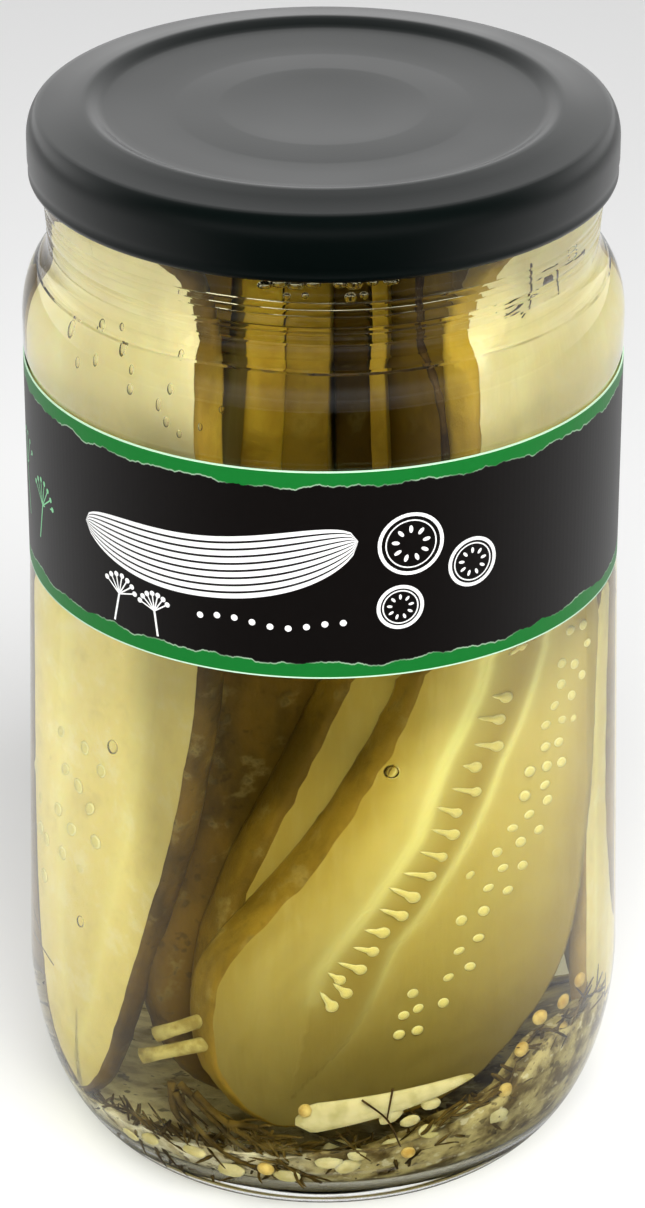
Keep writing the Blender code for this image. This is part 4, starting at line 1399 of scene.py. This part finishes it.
class JAR_OT_spices(bpy.types.Operator):
    """Scatter mustard seeds, garlic and cut stems"""

    bl_idname = "pickle_jar.spices"
    bl_label = "Spices"

    def execute(self, context):
        draw = random.Random(11)
        shapes = []
        for spot in [*MUSTARD_AT, *banked(draw, 22, 9.5, (0.0, 4.0), (1.6, 5.0))]:
            size = draw.uniform(1.1, 1.35)
            spin = [draw.uniform(0, math.tau) for _ in range(3)]
            shapes.append(ball(place_of(*spot), (size, size * 0.95, size * 1.08), spin, 10, 14, 0.02, draw))
        seed = speckled_look("mustard_seed", srgb(216, 190, 108), srgb(176, 140, 62), 700.0, 0.3)
        piece("mustard_seeds", joined(shapes), seed)

        shapes = []
        for spot in [*CHIPS_AT, *banked(draw, 16, 9.0, (0.5, 5.0), (1.2, 4.0))]:
            size = draw.uniform(0.8, 1.3)
            tilt = (math.pi / 2 + draw.uniform(-0.5, 0.5), draw.uniform(-0.6, 0.6), math.radians(spot[0]))
            shapes.append(ball(place_of(*spot), (1.9 * size, 1.3 * size, 0.55), tilt, 8, 12, 0.1, draw))
        garlic = speckled_look("garlic", srgb(218, 206, 148), srgb(184, 172, 108), 420.0, 0.5, bump=0.1)
        piece("garlic_chips", joined(shapes), garlic)

        piece("garlic_strip", garlic_strip_shape(), garlic)

        shapes = []
        for ends in STUBS:
            route = smooth_route([place_of(*end) for end in ends], 4)
            shapes.append(tube(route, [1.25, 1.1, 1.15, 1.25], 12))
        stem = speckled_look("cut_stem", srgb(196, 180, 104), srgb(150, 130, 60), 600.0, 0.3)
        piece("cut_stems", joined(shapes), stem)
        return {"FINISHED"}


class JAR_OT_herbs(bpy.types.Operator):
    """Lay dill sprigs, twigs and loose needles"""

    bl_idname = "pickle_jar.herbs"
    bl_label = "Dill"

    def execute(self, context):
        draw = random.Random(5)
        shapes = []
        for line in SPRIGS:
            route = smooth_route([place_of(*spot) for spot in line], 14)
            shapes.append(tube(route, [0.75 - 0.035 * i for i in range(14)], 6))
            for spot in route[1:-1]:
                step = (route[-1] - route[0]).normalized()
                lean = Vector([draw.uniform(-most, most) for most in (1, 0.4, 1)]).normalized()
                end = spot + (step * 1.2 + lean) * draw.uniform(1.5, 3.0)
                middle = (spot + end) / 2 + lean * 0.4
                shapes.append(tube(smooth_route([spot, middle, end], 5), [0.3, 0.28, 0.25, 0.2, 0.1], 5))
        for i in range(NEEDLE_COUNT):
            turn = draw.uniform(-110, 110) if i % 4 else draw.uniform(-180, 180)
            z = max(7.6, bank_height(turn) - draw.uniform(-0.4, 6.0))
            radius = inside_radius(z) - draw.uniform(0.5, 5.0)
            spot = place_of(turn, radius, z)
            reach = draw.uniform(1.5, 4.5)
            way = plane_axes(turn)[1] * draw.uniform(-1, 1)
            way = (way + Vector((0, 0, draw.uniform(-0.6, 0.6)))).normalized()
            bend = Vector((0, 0, draw.uniform(-0.6, 0.6)))
            line = smooth_route([spot - way * reach, spot + bend, spot + way * reach], 6)
            size = draw.uniform(0.18, 0.42)
            shapes.append(tube(line, [size * s for s in (0.5, 0.9, 1.0, 1.0, 0.8, 0.4)], 5))
        dill = speckled_look("dill", srgb(98, 78, 28), srgb(44, 32, 10), 300.0, 0.1)
        piece("dill_needles", joined(shapes), dill)

        shapes = []
        for line in TWIGS:
            count = 6 * len(line)
            route = smooth_route([place_of(*spot) for spot in line], count)
            shapes.append(tube(route, [0.2 - 0.08 * i / count for i in range(count)], 6))
        route = smooth_route([place_of(*spot) for spot in STALK], 40)
        shapes.append(tube(route, [0.55 + 0.1 * math.sin(i * 1.1) for i in range(40)], 7))
        twig = speckled_look("dill_twig", srgb(78, 58, 24), srgb(44, 30, 14), 500.0, 0.1)
        piece("dill_twigs", joined(shapes), twig)
        return {"FINISHED"}


class JAR_OT_bubbles(bpy.types.Operator):
    """Set bubbles on the inside of the glass"""

    bl_idname = "pickle_jar.bubbles"
    bl_label = "Bubbles"

    def execute(self, context):
        shapes = []
        for turn, z, width, height in BUBBLES:
            spot = place_of(turn, inside_radius(z) - width - 0.05, z)
            shapes.append(ball(spot, (width, width, height), (0, 0, 0), 12, 16))
        look = Look("bubble")
        shader = look.principled(
            Base_Color=(1.0, 1.0, 1.0), Roughness=0.0, IOR=0.744, Transmission_Weight=1.0
        )
        look.surface(look.clear(shader, (0.98, 0.98, 0.98)))
        piece("bubbles", joined(shapes), look)
        return {"FINISHED"}


def soft_light(name, place, target, size, power, colour=(1.0, 1.0, 1.0)):
    """A rectangular soft light that looks at the target and shows in no reflection."""
    data = bpy.data.lights.new(name, "AREA")
    data.shape = "RECTANGLE"
    data.size, data.size_y = size
    data.energy = power
    data.color = colour
    lamp = placed(name, data)
    aimed(lamp, place, target)
    lamp.visible_glossy = lamp.visible_transmission = False


class JAR_OT_stage(bpy.types.Operator):
    """Set the pale floor, the soft light and the camera"""

    bl_idname = "pickle_jar.stage"
    bl_label = "Stage"

    def execute(self, context):
        scene = context.scene
        scene.view_settings.view_transform = "Standard"
        scene.cycles.caustics_refractive = False
        scene.cycles.caustics_reflective = False
        for kind, count in BOUNCES.items():
            setattr(scene.cycles, kind + "_bounces", count)
        scene.world = self.sky()

        mesh = bpy.data.meshes.new("floor")
        signs = ((-1, -1), (1, -1), (1, 1), (-1, 1))
        mesh.from_pydata([(x * FLOOR_REACH, y * FLOOR_REACH, 0) for x, y in signs], [], [(0, 1, 2, 3)])
        floor = placed("floor", mesh)
        look = Look("pale_floor")
        look.surface(look.principled(Base_Color=(0.9, 0.9, 0.9), Roughness=0.9, Specular_IOR_Level=0.1))
        mesh.materials.append(look.material)
        self.flag()

        soft_light("key", (0.15, -0.55, 0.95), (0.0, 0.0, 0.08), (0.7, 0.45), 13.0)
        soft_light("fill", (-0.3, -1.0, 0.38), (0.0, 0.0, 0.1), (0.7, 0.5), 4.0)

        data = bpy.data.cameras.new("camera")
        data.lens = CAMERA_LENS
        data.sensor_width = 36.0
        data.clip_start, data.clip_end = 0.05, 20.0
        scene.camera = placed("camera", data)
        aimed(scene.camera, CAMERA_AT, CAMERA_AIM)
        return {"FINISHED"}

    def sky(self):
        """A soft dome, bright low behind the jar and dim in front of it."""
        look = Look("soft_sky", "worlds")
        direction = look.node("ShaderNodeTexCoord", out=0)
        depth, height = look.axis(1, direction), look.axis(2, direction)
        behind = depth.between(-0.28, 0.6)
        glow = behind * (1.0 - height.between(0.22, 0.8) * 0.7) * 1.85 + 0.08
        front_window = (0.0 - depth).between(0.2, 0.7) * (1.0 - abs(height - 0.06) / 0.16).clamped()
        background = look.node("ShaderNodeBackground", {}, {"Strength": glow + front_window * 0.55})
        look.node("ShaderNodeOutputWorld", {}, {"Surface": background})
        return look.material

    def flag(self):
        """A card on the floor, for reflections only: dark in front, as pale as the floor at the sides."""
        verts, dark = [], []
        reaches = (0.033, 0.06, 0.1, 0.2, 0.5, 1.8)
        turns = range(-125, 126, 5)
        for turn in turns:
            for reach in reaches:
                verts.append(tuple(plane_axes(turn)[0] * reach + Vector((0, 0, 0.0002))))
                share = ramp(abs(turn), 25, 120)
                dark.append(1.0 - share * share * (3 - 2 * share))
        mesh = bpy.data.meshes.new("flag_card")
        mesh.from_pydata(verts, [], sheet_faces(len(reaches), len(turns)))
        mesh.attributes.new("dark", "FLOAT", "POINT").data.foreach_set("value", dark)
        card = placed("flag_card", mesh)
        look = Look("graded_card")
        colour = look.mix(look.attribute("dark"), (0.9, 0.9, 0.9), (0.001, 0.001, 0.001))
        look.surface(look.principled(Base_Color=colour, Roughness=0.9, Specular_IOR_Level=0.0))
        mesh.materials.append(look.material)
        for kind in ("camera", "diffuse", "volume_scatter", "shadow"):
            setattr(card, "visible_" + kind, False)


class JAR_PT_panel(bpy.types.Panel):
    bl_label = "Pickle jar"
    bl_idname = "JAR_PT_panel"
    bl_space_type = "VIEW_3D"
    bl_region_type = "UI"
    bl_category = "Pickle jar"

    def draw(self, context):
        for key in JarSettings.__annotations__:
            self.layout.prop(context.scene.pickle_jar, key)
        for operator in OPERATORS:
            self.layout.operator(operator.bl_idname)


OPERATORS = (
    JAR_OT_stage, JAR_OT_glass, JAR_OT_brine, JAR_OT_lid, JAR_OT_label, JAR_OT_slices, JAR_OT_seeds,
    JAR_OT_bed, JAR_OT_spices, JAR_OT_herbs, JAR_OT_bubbles,
)
CLASSES = (JarSettings, *OPERATORS, JAR_PT_panel)


def register():
    for cls in CLASSES:
        bpy.utils.register_class(cls)
    bpy.types.Scene.pickle_jar = PointerProperty(type=JarSettings)


def unregister():
    del bpy.types.Scene.pickle_jar
    for cls in reversed(CLASSES):
        bpy.utils.unregister_class(cls)


def main():
    register()
    bpy.ops.pickle_jar.stage()
    bpy.ops.pickle_jar.glass()
    bpy.ops.pickle_jar.brine()
    bpy.ops.pickle_jar.lid()
    bpy.ops.pickle_jar.label()
    bpy.ops.pickle_jar.slices()
    bpy.ops.pickle_jar.seeds()
    bpy.ops.pickle_jar.bed()
    bpy.ops.pickle_jar.spices()
    bpy.ops.pickle_jar.herbs()
    bpy.ops.pickle_jar.bubbles()


if __name__ == "__main__":
    main()
